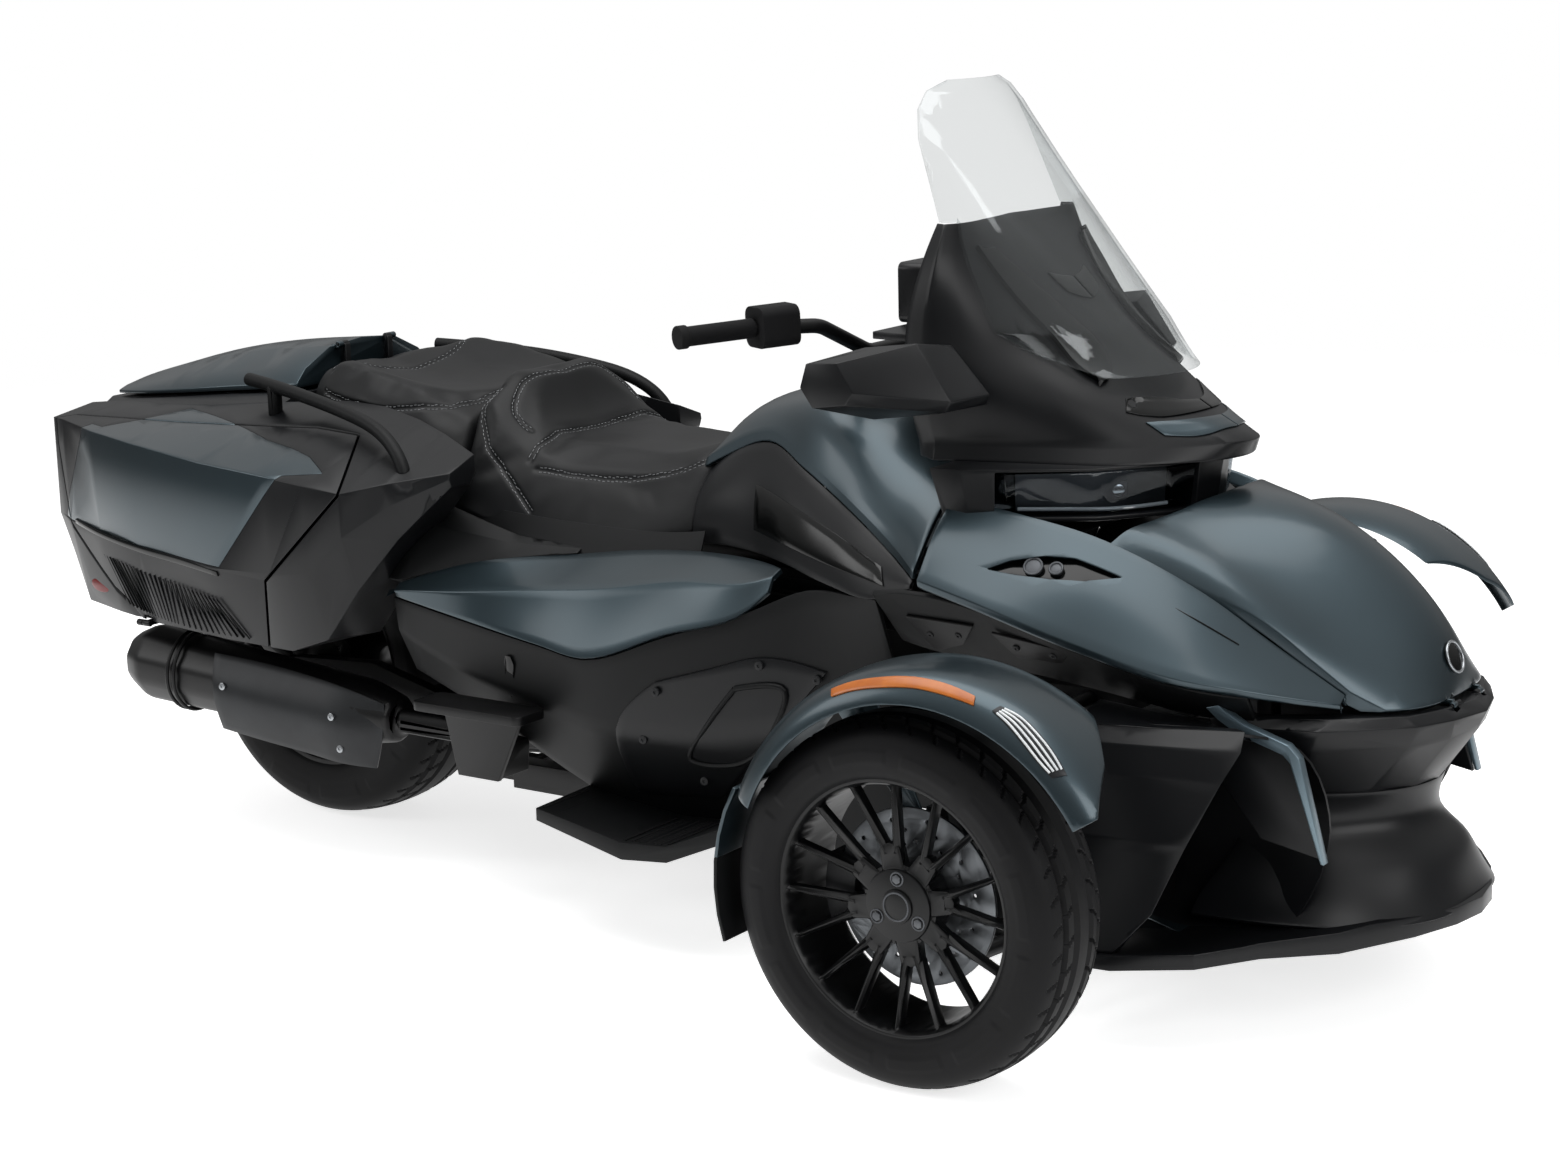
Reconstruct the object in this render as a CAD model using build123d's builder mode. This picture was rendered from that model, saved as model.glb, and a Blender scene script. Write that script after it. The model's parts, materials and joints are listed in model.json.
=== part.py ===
from build123d import *
from math import cos, hypot, radians, sin
import os

os.makedirs("parts", exist_ok=True)

# Frame: +X forward, +Y left, +Z up, millimetres. The origin is on the floor below the
# middle of the whole vehicle. The right side is -Y.

# ---- Driving sizes -----------------------------------------------------------------
WHEELBASE = 1714
REAR_AXLE_X = -900
FRONT_AXLE_X = REAR_AXLE_X + WHEELBASE
HALF_TRACK = 668

FRONT_TYRE_R = 281
FRONT_TYRE_HALF_W = 82.5
FRONT_RIM_HALF_W = 64.5
REAR_TYRE_R = 303
REAR_TYRE_HALF_W = 112
REAR_RIM_HALF_W = 92
BEAD_R = 194
RIM_BARREL_R = 184
RIM_FLANGE_R = 204
FLANGE_T = 5.5
RIM_SEAT_GAP = 0.3
SPOKE_COUNT = 16
SPINDLE_R = 17
BEARING_GAP = 0.4

KINGPIN_Y = HALF_TRACK - 78
LOWER_BALL_Z = 150
UPPER_BALL_Z = 412
BALL_EYE_R = 17
BALL_EYE_T = 20
BALL_PIN_R = 8
STEERING_ARM = 110
TIE_ROD_Z = 230
TIE_ROD_R = 9
RACK_R = 12

COLUMN_FOOT = (704, 250)
COLUMN_HEAD = (330, 1010)
COLUMN_R = 14

HINGE_R, HINGE_PIN_R, HINGE_GAP = 6, 2.5, 0.05
HOOD_HINGE = (1385, 504)
HOOD_BARREL_Y = 51
LID_HINGE = (-822, 925)
DOOR_HINGE = (404, 432)

SKIN = 12
SEAM = 5


def outline(*points):
    """A closed polygon through points given in the sketch plane's own coordinates."""
    return Polygon(*points, align=None)


def rod(start, end, radius, mode=Mode.ADD):
    """A round bar between two points, added to or cut from the part being built."""
    start, end = Vector(*start), Vector(*end)
    with BuildSketch(Plane(origin=start, z_dir=(end - start).normalized())) as section:
        Circle(radius)
    extrude(section.sketch, amount=(end - start).length, mode=mode)


def block(low, high, mode=Mode.ADD):
    """A box between two corners, added to or cut from the part being built."""
    with BuildSketch(Plane.XY.offset(low[2])) as section:
        outline((low[0], low[1]), (high[0], low[1]), (high[0], high[1]), (low[0], high[1]))
    extrude(section.sketch, amount=high[2] - low[2], mode=mode)


def mirrored(*half):
    """A half outline from the middle line outwards, closed by its mirror image."""
    return outline(*half, *[(-y, z) for y, z in reversed(half) if y > 0])


# ---- Wheels --------------------------------------------------------------------------
front_axle = Axis((FRONT_AXLE_X, 0, FRONT_TYRE_R), (0, 1, 0))
rear_axle = Axis((REAR_AXLE_X, 0, REAR_TYRE_R), (0, 1, 0))


def tyre_section(middle_y, axle_z, radius, half_width, rim_half):
    """Section of a tyre above its axle: beads between the flanges, sidewalls, crowned tread."""
    bead, shoulder = rim_half - RIM_SEAT_GAP, half_width - 12
    low, high = axle_z + BEAD_R, axle_z + radius
    flange, bulge = axle_z + RIM_FLANGE_R + 4, axle_z + BEAD_R + 0.55 * (radius - BEAD_R)
    left, right = middle_y - bead, middle_y + bead
    with BuildLine() as line:
        Polyline((left, flange), (left, low), (right, low), (right, flange))
        ThreePointArc((right, flange), (middle_y + half_width, bulge), (middle_y + shoulder, high - 6))
        ThreePointArc((middle_y + shoulder, high - 6), (middle_y, high), (middle_y - shoulder, high - 6))
        ThreePointArc((middle_y - shoulder, high - 6), (middle_y - half_width, bulge), (left, flange))
    return line.edges()


def barrel_section(middle_y, axle_z, half_width):
    """Section of a rim's barrel above its axle, with its two flanges."""
    seat, inside = axle_z + BEAD_R - RIM_SEAT_GAP, axle_z + RIM_BARREL_R
    flange, edge = axle_z + RIM_FLANGE_R, half_width + FLANGE_T
    half = [(0, seat - 4), (half_width - 14, seat - 4), (half_width - 10, seat), (half_width, seat)]
    half += [(half_width, flange - 3), (half_width + 2, flange), (edge, flange - 1)]
    half += [(edge, inside + 6), (half_width - 6, inside), (0, inside - 1)]
    right = [(middle_y + y, z) for y, z in half]
    left = [(middle_y - y, z) for y, z in reversed(half[1:-1])]
    outline(*right, *left)


with BuildPart() as front_tyre_right:
    with BuildSketch(Plane.YZ.offset(FRONT_AXLE_X)):
        make_face(tyre_section(-HALF_TRACK, FRONT_TYRE_R, FRONT_TYRE_R, FRONT_TYRE_HALF_W, FRONT_RIM_HALF_W))
    revolve(axis=front_axle)

# Distances of the wheel's faces from its middle plane, positive outboard.
SPOKE_BACK, HUB_FACE, HUB_BACK = 26, 50, 4
SPOKE_IN_R, SPOKE_OUT_R = 84, RIM_BARREL_R + 2
SPOKE_HALF_PITCH = 180 / SPOKE_COUNT
wheel_face = Plane(origin=(FRONT_AXLE_X, -HALF_TRACK, FRONT_TYRE_R), x_dir=(1, 0, 0), z_dir=(0, -1, 0))


def spoke_plane(radius, angle):
    """Plane across a spoke: its x goes round the wheel and its y goes outboard."""
    out = Vector(cos(radians(angle)), 0, sin(radians(angle)))
    return Plane(origin=wheel_face.origin + out * radius, x_dir=Vector(0, -1, 0).cross(out), z_dir=out)


def spoke_section(width, back, face):
    """Five-sided section of a spoke, with a ridge along its outer face."""
    half = width / 2
    outline((-half, back), (half, back), (half, face - 7), (0, face), (-half, face - 7))


with BuildPart() as front_rim_right:
    with BuildSketch(Plane.YZ.offset(FRONT_AXLE_X)):
        barrel_section(-HALF_TRACK, FRONT_TYRE_R, FRONT_RIM_HALF_W)
    revolve(axis=front_axle)
    with BuildSketch(wheel_face.offset(HUB_BACK)):
        Circle(62)
    extrude(amount=HUB_FACE - HUB_BACK - 6)
    with BuildSketch(wheel_face.offset(SPOKE_BACK)):
        with PolarLocations(0, SPOKE_COUNT // 2, start_angle=SPOKE_HALF_PITCH):
            outline((40, -20), (86, -17), (94, 0), (86, 17), (40, 20))
    extrude(amount=HUB_FACE - SPOKE_BACK - 5)
    for pair in range(SPOKE_COUNT // 2):
        for side in (-1, 1):
            middle = SPOKE_HALF_PITCH * (1 + 4 * pair)
            with BuildSketch(spoke_plane(SPOKE_IN_R - 6, middle + side * 6)):
                spoke_section(14, SPOKE_BACK, HUB_FACE - 4)
            with BuildSketch(spoke_plane(SPOKE_OUT_R, middle + side * SPOKE_HALF_PITCH)):
                spoke_section(8, SPOKE_BACK + 14, FRONT_RIM_HALF_W - 1)
            loft()
    with BuildSketch(wheel_face.offset(HUB_FACE - 6)):
        Circle(56)
    extrude(amount=6, taper=25)
    with BuildSketch(wheel_face.offset(HUB_FACE)):
        Circle(27)
    extrude(amount=-14, mode=Mode.SUBTRACT)
    with BuildSketch(wheel_face.offset(HUB_FACE - 14)):
        Circle(21)
    extrude(amount=11)
    with BuildSketch(wheel_face.offset(HUB_FACE)):
        with PolarLocations(42, 3, start_angle=90):
            Circle(9)
    extrude(amount=-14, mode=Mode.SUBTRACT)
    with BuildSketch(wheel_face.offset(HUB_FACE - 14)):
        with PolarLocations(42, 3, start_angle=90):
            RegularPolygon(7, 6)
    extrude(amount=10)
    with BuildSketch(wheel_face.offset(HUB_BACK)):
        Circle(SPINDLE_R + BEARING_GAP)
    extrude(amount=30, mode=Mode.SUBTRACT)

DISC_R, DISC_T, DISC_BACK, DISC_HAT_R = 135, 6, -6, 56
with BuildPart() as front_disc_right:
    with BuildSketch(wheel_face.offset(DISC_BACK)):
        Circle(DISC_R)
        for ring, start in ((84, 0), (101, 10), (118, 20)):
            with PolarLocations(ring, 12, start_angle=start):
                Circle(3, mode=Mode.SUBTRACT)
    extrude(amount=DISC_T)
    with BuildSketch(wheel_face.offset(DISC_BACK)):
        Circle(DISC_HAT_R)
    extrude(amount=HUB_BACK - DISC_BACK)
    with BuildSketch(wheel_face.offset(DISC_BACK)):
        Circle(SPINDLE_R + BEARING_GAP)
    extrude(amount=HUB_BACK - DISC_BACK, mode=Mode.SUBTRACT)

with BuildPart() as rear_tyre:
    with BuildSketch(Plane.YZ.offset(REAR_AXLE_X)):
        make_face(tyre_section(0, REAR_TYRE_R, REAR_TYRE_R, REAR_TYRE_HALF_W, REAR_RIM_HALF_W))
    revolve(axis=rear_axle)

REAR_AXLE_R, REAR_HUB_R = 12.5, 46
# The belt pulley stands clear of the tyre on the left, and the brake disc on the right.
PULLEY_R, PULLEY_FROM_Y, BELT_W, BELT_T = 104, 118, 16, 5
REAR_DISC_R, REAR_DISC_FACE_Y, REAR_DISC_T = 115, 122, 5
rear_face = Plane(origin=(REAR_AXLE_X, 0, REAR_TYRE_R), x_dir=(1, 0, 0), z_dir=(0, -1, 0))
with BuildPart() as rear_rim:
    with BuildSketch(Plane.YZ.offset(REAR_AXLE_X)):
        barrel_section(0, REAR_TYRE_R, REAR_RIM_HALF_W)
    revolve(axis=rear_axle)
    with BuildSketch(rear_face.offset(-20)):
        Circle(RIM_BARREL_R + 2)
        with PolarLocations(118, 8):
            Circle(34, mode=Mode.SUBTRACT)
    extrude(amount=40)
    with BuildSketch(rear_face.offset(-PULLEY_FROM_Y - BELT_W)):
        Circle(REAR_HUB_R)
    extrude(amount=PULLEY_FROM_Y + BELT_W + REAR_DISC_FACE_Y)
    with BuildSketch(rear_face.offset(-PULLEY_FROM_Y - BELT_W)):
        Circle(PULLEY_R)
        with PolarLocations(74, 6):
            Circle(18, mode=Mode.SUBTRACT)
    extrude(amount=BELT_W)
    with BuildSketch(rear_face.offset(REAR_DISC_FACE_Y - REAR_DISC_T)):
        Circle(REAR_DISC_R)
        with PolarLocations(90, 12):
            Circle(3, mode=Mode.SUBTRACT)
    extrude(amount=REAR_DISC_T)
    with BuildSketch(rear_face.offset(-PULLEY_FROM_Y - BELT_W)):
        Circle(REAR_AXLE_R + BEARING_GAP)
    extrude(amount=PULLEY_FROM_Y + BELT_W + REAR_DISC_FACE_Y, mode=Mode.SUBTRACT)

# ---- Front knuckles, right side --------------------------------------------------------
UPRIGHT_LOW = LOWER_BALL_Z + BALL_EYE_T / 2 + 0.6
UPRIGHT_HIGH = UPPER_BALL_Z - BALL_EYE_T / 2 - 0.6
UPRIGHT_FACE_Y = KINGPIN_Y - 16
STEERING_ARM_Z = TIE_ROD_Z + TIE_ROD_R + 6
DISC_GAP = 1.5


def wheel_point(radius, angle):
    """(x, z) of a point beside the front wheel, by its radius and angle from the axle."""
    return (FRONT_AXLE_X + radius * cos(radians(angle)), FRONT_TYRE_R + radius * sin(radians(angle)))


def wheel_sector(inner, outer, start, end, steps=6):
    """Closed sector of a ring beside the front wheel."""
    angles = [start + (end - start) * i / steps for i in range(steps + 1)]
    far = [wheel_point(outer, a) for a in angles]
    return outline(*far, *[wheel_point(inner, a) for a in reversed(angles)])


with BuildPart() as knuckle_right:
    with BuildSketch(Plane.XZ.offset(UPRIGHT_FACE_Y)):
        outline(
            (FRONT_AXLE_X - 18, UPRIGHT_LOW),
            (FRONT_AXLE_X + 18, UPRIGHT_LOW),
            (FRONT_AXLE_X + 42, FRONT_TYRE_R),
            (FRONT_AXLE_X + 18, UPRIGHT_HIGH),
            (FRONT_AXLE_X - 18, UPRIGHT_HIGH),
            (FRONT_AXLE_X - 42, FRONT_TYRE_R),
        )
    extrude(amount=34)
    with BuildSketch(Plane.XZ.offset(KINGPIN_Y + 10)):
        with Locations((FRONT_AXLE_X, FRONT_TYRE_R)):
            Circle(SPINDLE_R)
    extrude(amount=HALF_TRACK - KINGPIN_Y - 10 + HUB_BACK + 26)
    with BuildSketch(Plane.XY.offset(UPRIGHT_LOW - BALL_EYE_T)):
        with Locations((FRONT_AXLE_X, -KINGPIN_Y)):
            Circle(BALL_PIN_R)
    extrude(amount=UPRIGHT_HIGH - UPRIGHT_LOW + 2 * BALL_EYE_T)
    with BuildSketch(Plane.XY.offset(STEERING_ARM_Z)):
        outline(
            (FRONT_AXLE_X - 20, 14 - KINGPIN_Y),
            (FRONT_AXLE_X - STEERING_ARM - 14, 12 - KINGPIN_Y),
            (FRONT_AXLE_X - STEERING_ARM - 14, -7 - KINGPIN_Y),
            (FRONT_AXLE_X - 20, -14 - KINGPIN_Y),
        )
    extrude(amount=14)
    # The brake caliper clasps the rear of the disc, on a lug of the upright.
    with BuildSketch(Plane.XZ.offset(HALF_TRACK - 48)):
        wheel_sector(94, 146, 158, 202)
    extrude(amount=48 + 20)
    with BuildSketch(Plane.XZ.offset(HALF_TRACK + DISC_BACK - DISC_GAP)):
        with Locations((FRONT_AXLE_X, FRONT_TYRE_R)):
            Circle(DISC_R + 3)
            Circle(DISC_HAT_R + 4, mode=Mode.SUBTRACT)
    extrude(amount=DISC_T + 2 * DISC_GAP, mode=Mode.SUBTRACT)
    with BuildSketch(Plane.XZ.offset(UPRIGHT_FACE_Y + 10)):
        wheel_sector(30, 130, 165, 195)
    extrude(amount=HALF_TRACK - 40 - UPRIGHT_FACE_Y - 10)

# The fender arches over the tyre about a line of its own, ahead of the axle: its rear end
# hugs the tyre and its front end runs out to a point.
FENDER_AXIS = (FRONT_AXLE_X + 63, 295)
FENDER_TIP_ANGLE, FENDER_REAR_ANGLE = 32, 158
FENDER_IN_Y, FENDER_OUT_Y, FENDER_CROWN_Y = HALF_TRACK - 76, HALF_TRACK + 109, HALF_TRACK + 22
FENDER_EDGE_R, FENDER_CROWN_R, FENDER_WALL = 306, 354, 5
fender_axis = Axis((FENDER_AXIS[0], 0, FENDER_AXIS[1]), (0, 1, 0))


FLAP_R, FLAP_T, FLAP_FROM, FLAP_TO = FRONT_TYRE_R + 15, 6, 150, 198


def fender_section():
    """Domed section of the fender above its own axis, open towards the tyre."""
    edge, crown = FENDER_AXIS[1] + FENDER_EDGE_R, FENDER_AXIS[1] + FENDER_CROWN_R
    outer = [(-FENDER_IN_Y, crown - 20), (-FENDER_IN_Y - 30, crown - 6), (-FENDER_CROWN_Y, crown)]
    outer += [(-FENDER_OUT_Y + 20, crown - 14), (-FENDER_OUT_Y, edge)]
    shifts = [(-FENDER_WALL, 0), (-3, -FENDER_WALL), (0, -FENDER_WALL), (3, -FENDER_WALL), (FENDER_WALL, 0)]
    inner = [(y + dy, z + dz) for (y, z), (dy, dz) in zip(outer, shifts)]
    with BuildLine() as line:
        Spline(*outer)
        Line(outer[-1], inner[-1])
        Spline(*reversed(inner))
        Line(inner[0], outer[0])
    return line.edges()


with BuildPart() as fender_right:
    with BuildSketch(Plane.YZ.offset(FENDER_AXIS[0])):
        make_face(fender_section())
    revolve(axis=fender_axis, revolution_arc=90 - FENDER_TIP_ANGLE)
    with BuildSketch(Plane.YZ.offset(FENDER_AXIS[0])):
        make_face(fender_section())
    revolve(axis=fender_axis.reverse(), revolution_arc=FENDER_REAR_ANGLE - 90)
    # The front end is cut back towards the inside, so it runs to a point outboard.
    with BuildSketch(Plane.XY.offset(FENDER_AXIS[1])):
        outline(
            (FENDER_AXIS[0] + 185, 5 - FENDER_IN_Y),
            (FENDER_AXIS[0] + 400, 5 - FENDER_IN_Y),
            (FENDER_AXIS[0] + 400, -FENDER_OUT_Y - 5),
            (FENDER_AXIS[0] + 297, -FENDER_OUT_Y - 5),
            (FENDER_AXIS[0] + 262, -FENDER_CROWN_Y),
        )
    extrude(amount=400, mode=Mode.SUBTRACT)
    # The splash flap hangs inside the fender's rear end.
    with BuildSketch(Plane.XZ.offset(FENDER_IN_Y + 20)):
        wheel_sector(FLAP_R, FLAP_R + FLAP_T, FLAP_FROM, FLAP_TO)
    extrude(amount=FENDER_OUT_Y - FENDER_IN_Y - 40)
    # Bracket arms stand on the upright, inboard of the tyre, and meet the fender's inner lip.
    with BuildSketch(Plane.XZ.offset(UPRIGHT_FACE_Y - 6.3)):
        wheel_sector(60, FRONT_TYRE_R + 44, 62, 76)
        wheel_sector(60, FRONT_TYRE_R + 44, 116, 130)
        wheel_sector(60, 90, 62, 130)
    extrude(amount=6)
    for angle in (69, 123):
        pin_x, pin_z = wheel_point(FRONT_TYRE_R + 36, angle)
        rod((pin_x, -UPRIGHT_FACE_Y + 6.3, pin_z), (pin_x, -FENDER_CROWN_Y, pin_z), 7)

# ---- Steering ------------------------------------------------------------------------
column_dir = Vector(COLUMN_HEAD[0] - COLUMN_FOOT[0], 0, COLUMN_HEAD[1] - COLUMN_FOOT[1]).normalized()


def column_plane(z):
    """Plane square to the steering column where it passes the height z; its y is +Y."""
    x = COLUMN_FOOT[0] + (z - COLUMN_FOOT[1]) * column_dir.X / column_dir.Z
    return Plane(origin=(x, 0, z), x_dir=Vector(0, 1, 0).cross(column_dir), z_dir=column_dir)


with BuildPart() as steering_rack:
    rod((COLUMN_FOOT[0], -260, TIE_ROD_Z), (COLUMN_FOOT[0], 260, TIE_ROD_Z), RACK_R)
    rod((COLUMN_FOOT[0], -KINGPIN_Y + 4, TIE_ROD_Z), (COLUMN_FOOT[0], KINGPIN_Y - 4, TIE_ROD_Z), TIE_ROD_R)
    with BuildSketch(Plane.XY.offset(TIE_ROD_Z - TIE_ROD_R - 1)):
        with Locations((COLUMN_FOOT[0], KINGPIN_Y), (COLUMN_FOOT[0], -KINGPIN_Y)):
            Circle(14)
    extrude(amount=2 * TIE_ROD_R + 2)

GRIP_R, GRIP_INNER, GRIP_OUTER = 16, (297, 315, 1046), (240, 432, 1042)
BAR_R = 12
with BuildPart() as handlebar:
    with BuildLine() as bar_line:
        FilletPolyline(
            (244, -424, 1042),
            (297, -315, 1046),
            (352, -205, 1040),
            (372, -90, 985),
            (372, 90, 985),
            (352, 205, 1040),
            (297, 315, 1046),
            (244, 424, 1042),
            radius=60,
        )
    with BuildSketch(Plane(origin=bar_line.line @ 0, z_dir=bar_line.line % 0)):
        Circle(BAR_R)
    sweep()
    with BuildSketch(column_plane(620)):
        Circle(COLUMN_R)
    extrude(amount=(968 - 620) / column_dir.Z)
    with BuildSketch(column_plane(955)):
        Rectangle(46, 220)
    extrude(amount=26)
    fillet(edges().filter_by(lambda e: abs(e.length - 26) < 0.5), 8)

with BuildPart() as handlebar_controls:
    for side in (-1, 1):
        inner = Vector(GRIP_INNER[0], side * GRIP_INNER[1], GRIP_INNER[2])
        outer = Vector(GRIP_OUTER[0], side * GRIP_OUTER[1], GRIP_OUTER[2])
        along = (outer - inner).normalized()
        with BuildSketch(Plane(origin=inner, z_dir=along)):
            Circle(GRIP_R)
        extrude(amount=(outer - inner).length - 8)
        with BuildSketch(Plane(origin=outer - along * 10, z_dir=along)):
            Circle(GRIP_R + 3)
        extrude(amount=16)
        with BuildSketch(Plane(origin=inner - along * 72, z_dir=along)):
            RectangleRounded(62, 66, 16)
        extrude(amount=68)
    add(handlebar.part, mode=Mode.SUBTRACT)

# ---- Chassis: frame, engine and suspension ---------------------------------------------
ARM_R = 13
RAIL_Y, RAIL_Z, RAIL_FRONT_X = 130, 170, 1105
PIVOT_PLATE_Y = 112
NOSE_STAY_Z, TUB_Z, TAIL_Z, HOUSING_Z, RADIATOR_X = 450, 505, 655, 765, 945
SWING_PIVOT = (-486, 276)
SWING_ARM_Y = 140
REAR_PLATE_X, REAR_PLATE_Z, REAR_PLATE_T = -1188, 618, 8
REAR_HOLE_SPACING_Y, REAR_HOLE_SPACING_Z, REAR_HOLE_R = 200, 36, 5.5
BELT_FRONT = (-400, 300)
BELT_FRONT_R = 46
BELT_GAP = 0.3
with BuildPart() as engine_block:
    with BuildSketch(Plane.XZ.offset(-165)):
        outline((360, 215), (360, 430), (270, 520), (-100, 520), (-160, 415), (-160, 215))
    extrude(amount=330)
    with BuildSketch(Plane.XZ.offset(-78)):
        outline((-150, 230), (-150, 400), (-430, 370), (-440, 330), (-440, 240))
    extrude(amount=156)
    with BuildSketch(Plane.XZ.offset(-PULLEY_FROM_Y - BELT_W)):
        with Locations(BELT_FRONT):
            Circle(BELT_FRONT_R)
    extrude(amount=BELT_W)
    with BuildSketch(Plane.XZ.offset(-PULLEY_FROM_Y - BELT_W)):
        with Locations(BELT_FRONT):
            Circle(20)
    extrude(amount=PULLEY_FROM_Y + BELT_W)

with BuildPart() as frame:
    for side in (-1, 1):
        with BuildSketch(Plane.YZ.offset(-380)):
            with Locations((side * RAIL_Y, RAIL_Z)):
                Rectangle(40, 50)
        extrude(amount=RAIL_FRONT_X + 380)
        # The upright by the swing arm's pivot stands inboard of the belt.
        with BuildSketch(Plane.XZ.offset(-side * PIVOT_PLATE_Y)):
            outline((-520, 150), (-450, 150), (-450, 290), (-540, 600), (-590, 600), (-520, 290))
        extrude(amount=side * 28)
        with BuildSketch(Plane.XZ.offset(-side * (RAIL_Y + 15))):
            outline((-540, 562), (-540, 600), (-1180, 640), (-1180, 618), (-590, 572))
        extrude(amount=side * 30)
        with BuildSketch(Plane.XZ.offset(-side * (RAIL_Y + 15))):
            outline(
                (560, 150), (600, 150), (600, 480), (500, 560), (-560, 600), (-560, 575), (490, 530),
                (560, 460),
            )
        extrude(amount=side * 30)
        with BuildSketch(Plane.XZ.offset(-side * (RAIL_Y + 15))):
            outline((880, 150), (925, 150), (925, 480), (600, 480), (600, 445), (880, 445))
        extrude(amount=side * 30)
    for x in (-370, 570, 895):
        with BuildSketch(Plane.XY.offset(RAIL_Z - 20)):
            with Locations((x, 0)):
                Rectangle(30, 2 * RAIL_Y)
        extrude(amount=40)
    # Stubs join the pivot plates to the rails.
    for side in (-1, 1):
        with BuildSketch(Plane.YZ.offset(-520)):
            with Locations((side * (PIVOT_PLATE_Y - 14), RAIL_Z)):
                Rectangle(28, 50)
        extrude(amount=160)
    for x, z in ((-1150, 627), (-560, 585), (575, 500)):
        with BuildSketch(Plane.YZ.offset(x)):
            with Locations((0, z)):
                Rectangle(2 * RAIL_Y, 26)
        extrude(amount=24)
    for side in (-1, 1):
        # Stays to the nose, with posts under the load tub, and brackets to the radiators.
        rod((905, side * RAIL_Y, NOSE_STAY_Z), (1246, side * 160, NOSE_STAY_Z), 12)
        rod((1000, side * 138, NOSE_STAY_Z), (1000, side * 138, TUB_Z), 10)
        block((920, side * 150 - 20, 300), (RADIATOR_X, side * 150 + 20, 340))
        block((RADIATOR_X - 12, side * 165 - 20, 300), (RADIATOR_X, side * 165 + 20, 340))
        # Posts under the tail, outriggers to the footboards and a stay to the headlight housing.
        for x in (-700, -960):
            rod((x, side * RAIL_Y, 590), (x, side * RAIL_Y, TAIL_Z), 12)
        for x in (0, 250):
            rod((x, side * RAIL_Y, RAIL_Z), (x, side * 300, RAIL_Z + 6), 11)
        rod((590, side * RAIL_Y, 470), (690, side * RAIL_Y, HOUSING_Z), 12)
    # Rear end plate with the holes that a rack or hitch bolts to.
    with BuildSketch(Plane.YZ.offset(REAR_PLATE_X)):
        with Locations((0, REAR_PLATE_Z)):
            Rectangle(2 * RAIL_Y + 30, 64)
            with GridLocations(REAR_HOLE_SPACING_Y, REAR_HOLE_SPACING_Z, 2, 2):
                Circle(REAR_HOLE_R, mode=Mode.SUBTRACT)
    extrude(amount=REAR_PLATE_T)
    # The rack's housing and the column's tube.
    with BuildSketch(Plane.XZ.offset(-RAIL_Y + 10)):
        with Locations((COLUMN_FOOT[0], TIE_ROD_Z)):
            Circle(RACK_R + 10)
    extrude(amount=2 * RAIL_Y - 20)
    with BuildSketch(Plane.XY.offset(RAIL_Z)):
        with Locations((COLUMN_FOOT[0], RAIL_Y - 25), (COLUMN_FOOT[0], 25 - RAIL_Y)):
            Rectangle(44, 30)
    extrude(amount=60)
    with BuildSketch(column_plane(480)):
        Circle(COLUMN_R + 9)
    extrude(amount=280)
    # Swing arm pivot, held in both plates.
    with BuildSketch(Plane.XZ.offset(-PIVOT_PLATE_Y)):
        with Locations(SWING_PIVOT):
            Circle(16)
    extrude(amount=2 * PIVOT_PLATE_Y)
    with BuildSketch(column_plane(468)):
        Rectangle(50, 2 * RAIL_Y - 10)
    extrude(amount=30)
    with BuildSketch(column_plane(600)):
        Circle(COLUMN_R + BEARING_GAP)
    extrude(amount=240, mode=Mode.SUBTRACT)
    with BuildSketch(Plane.XZ.offset(-RAIL_Y)):
        with Locations((COLUMN_FOOT[0], TIE_ROD_Z)):
            Circle(RACK_R + BEARING_GAP)
    extrude(amount=2 * RAIL_Y, mode=Mode.SUBTRACT)

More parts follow.
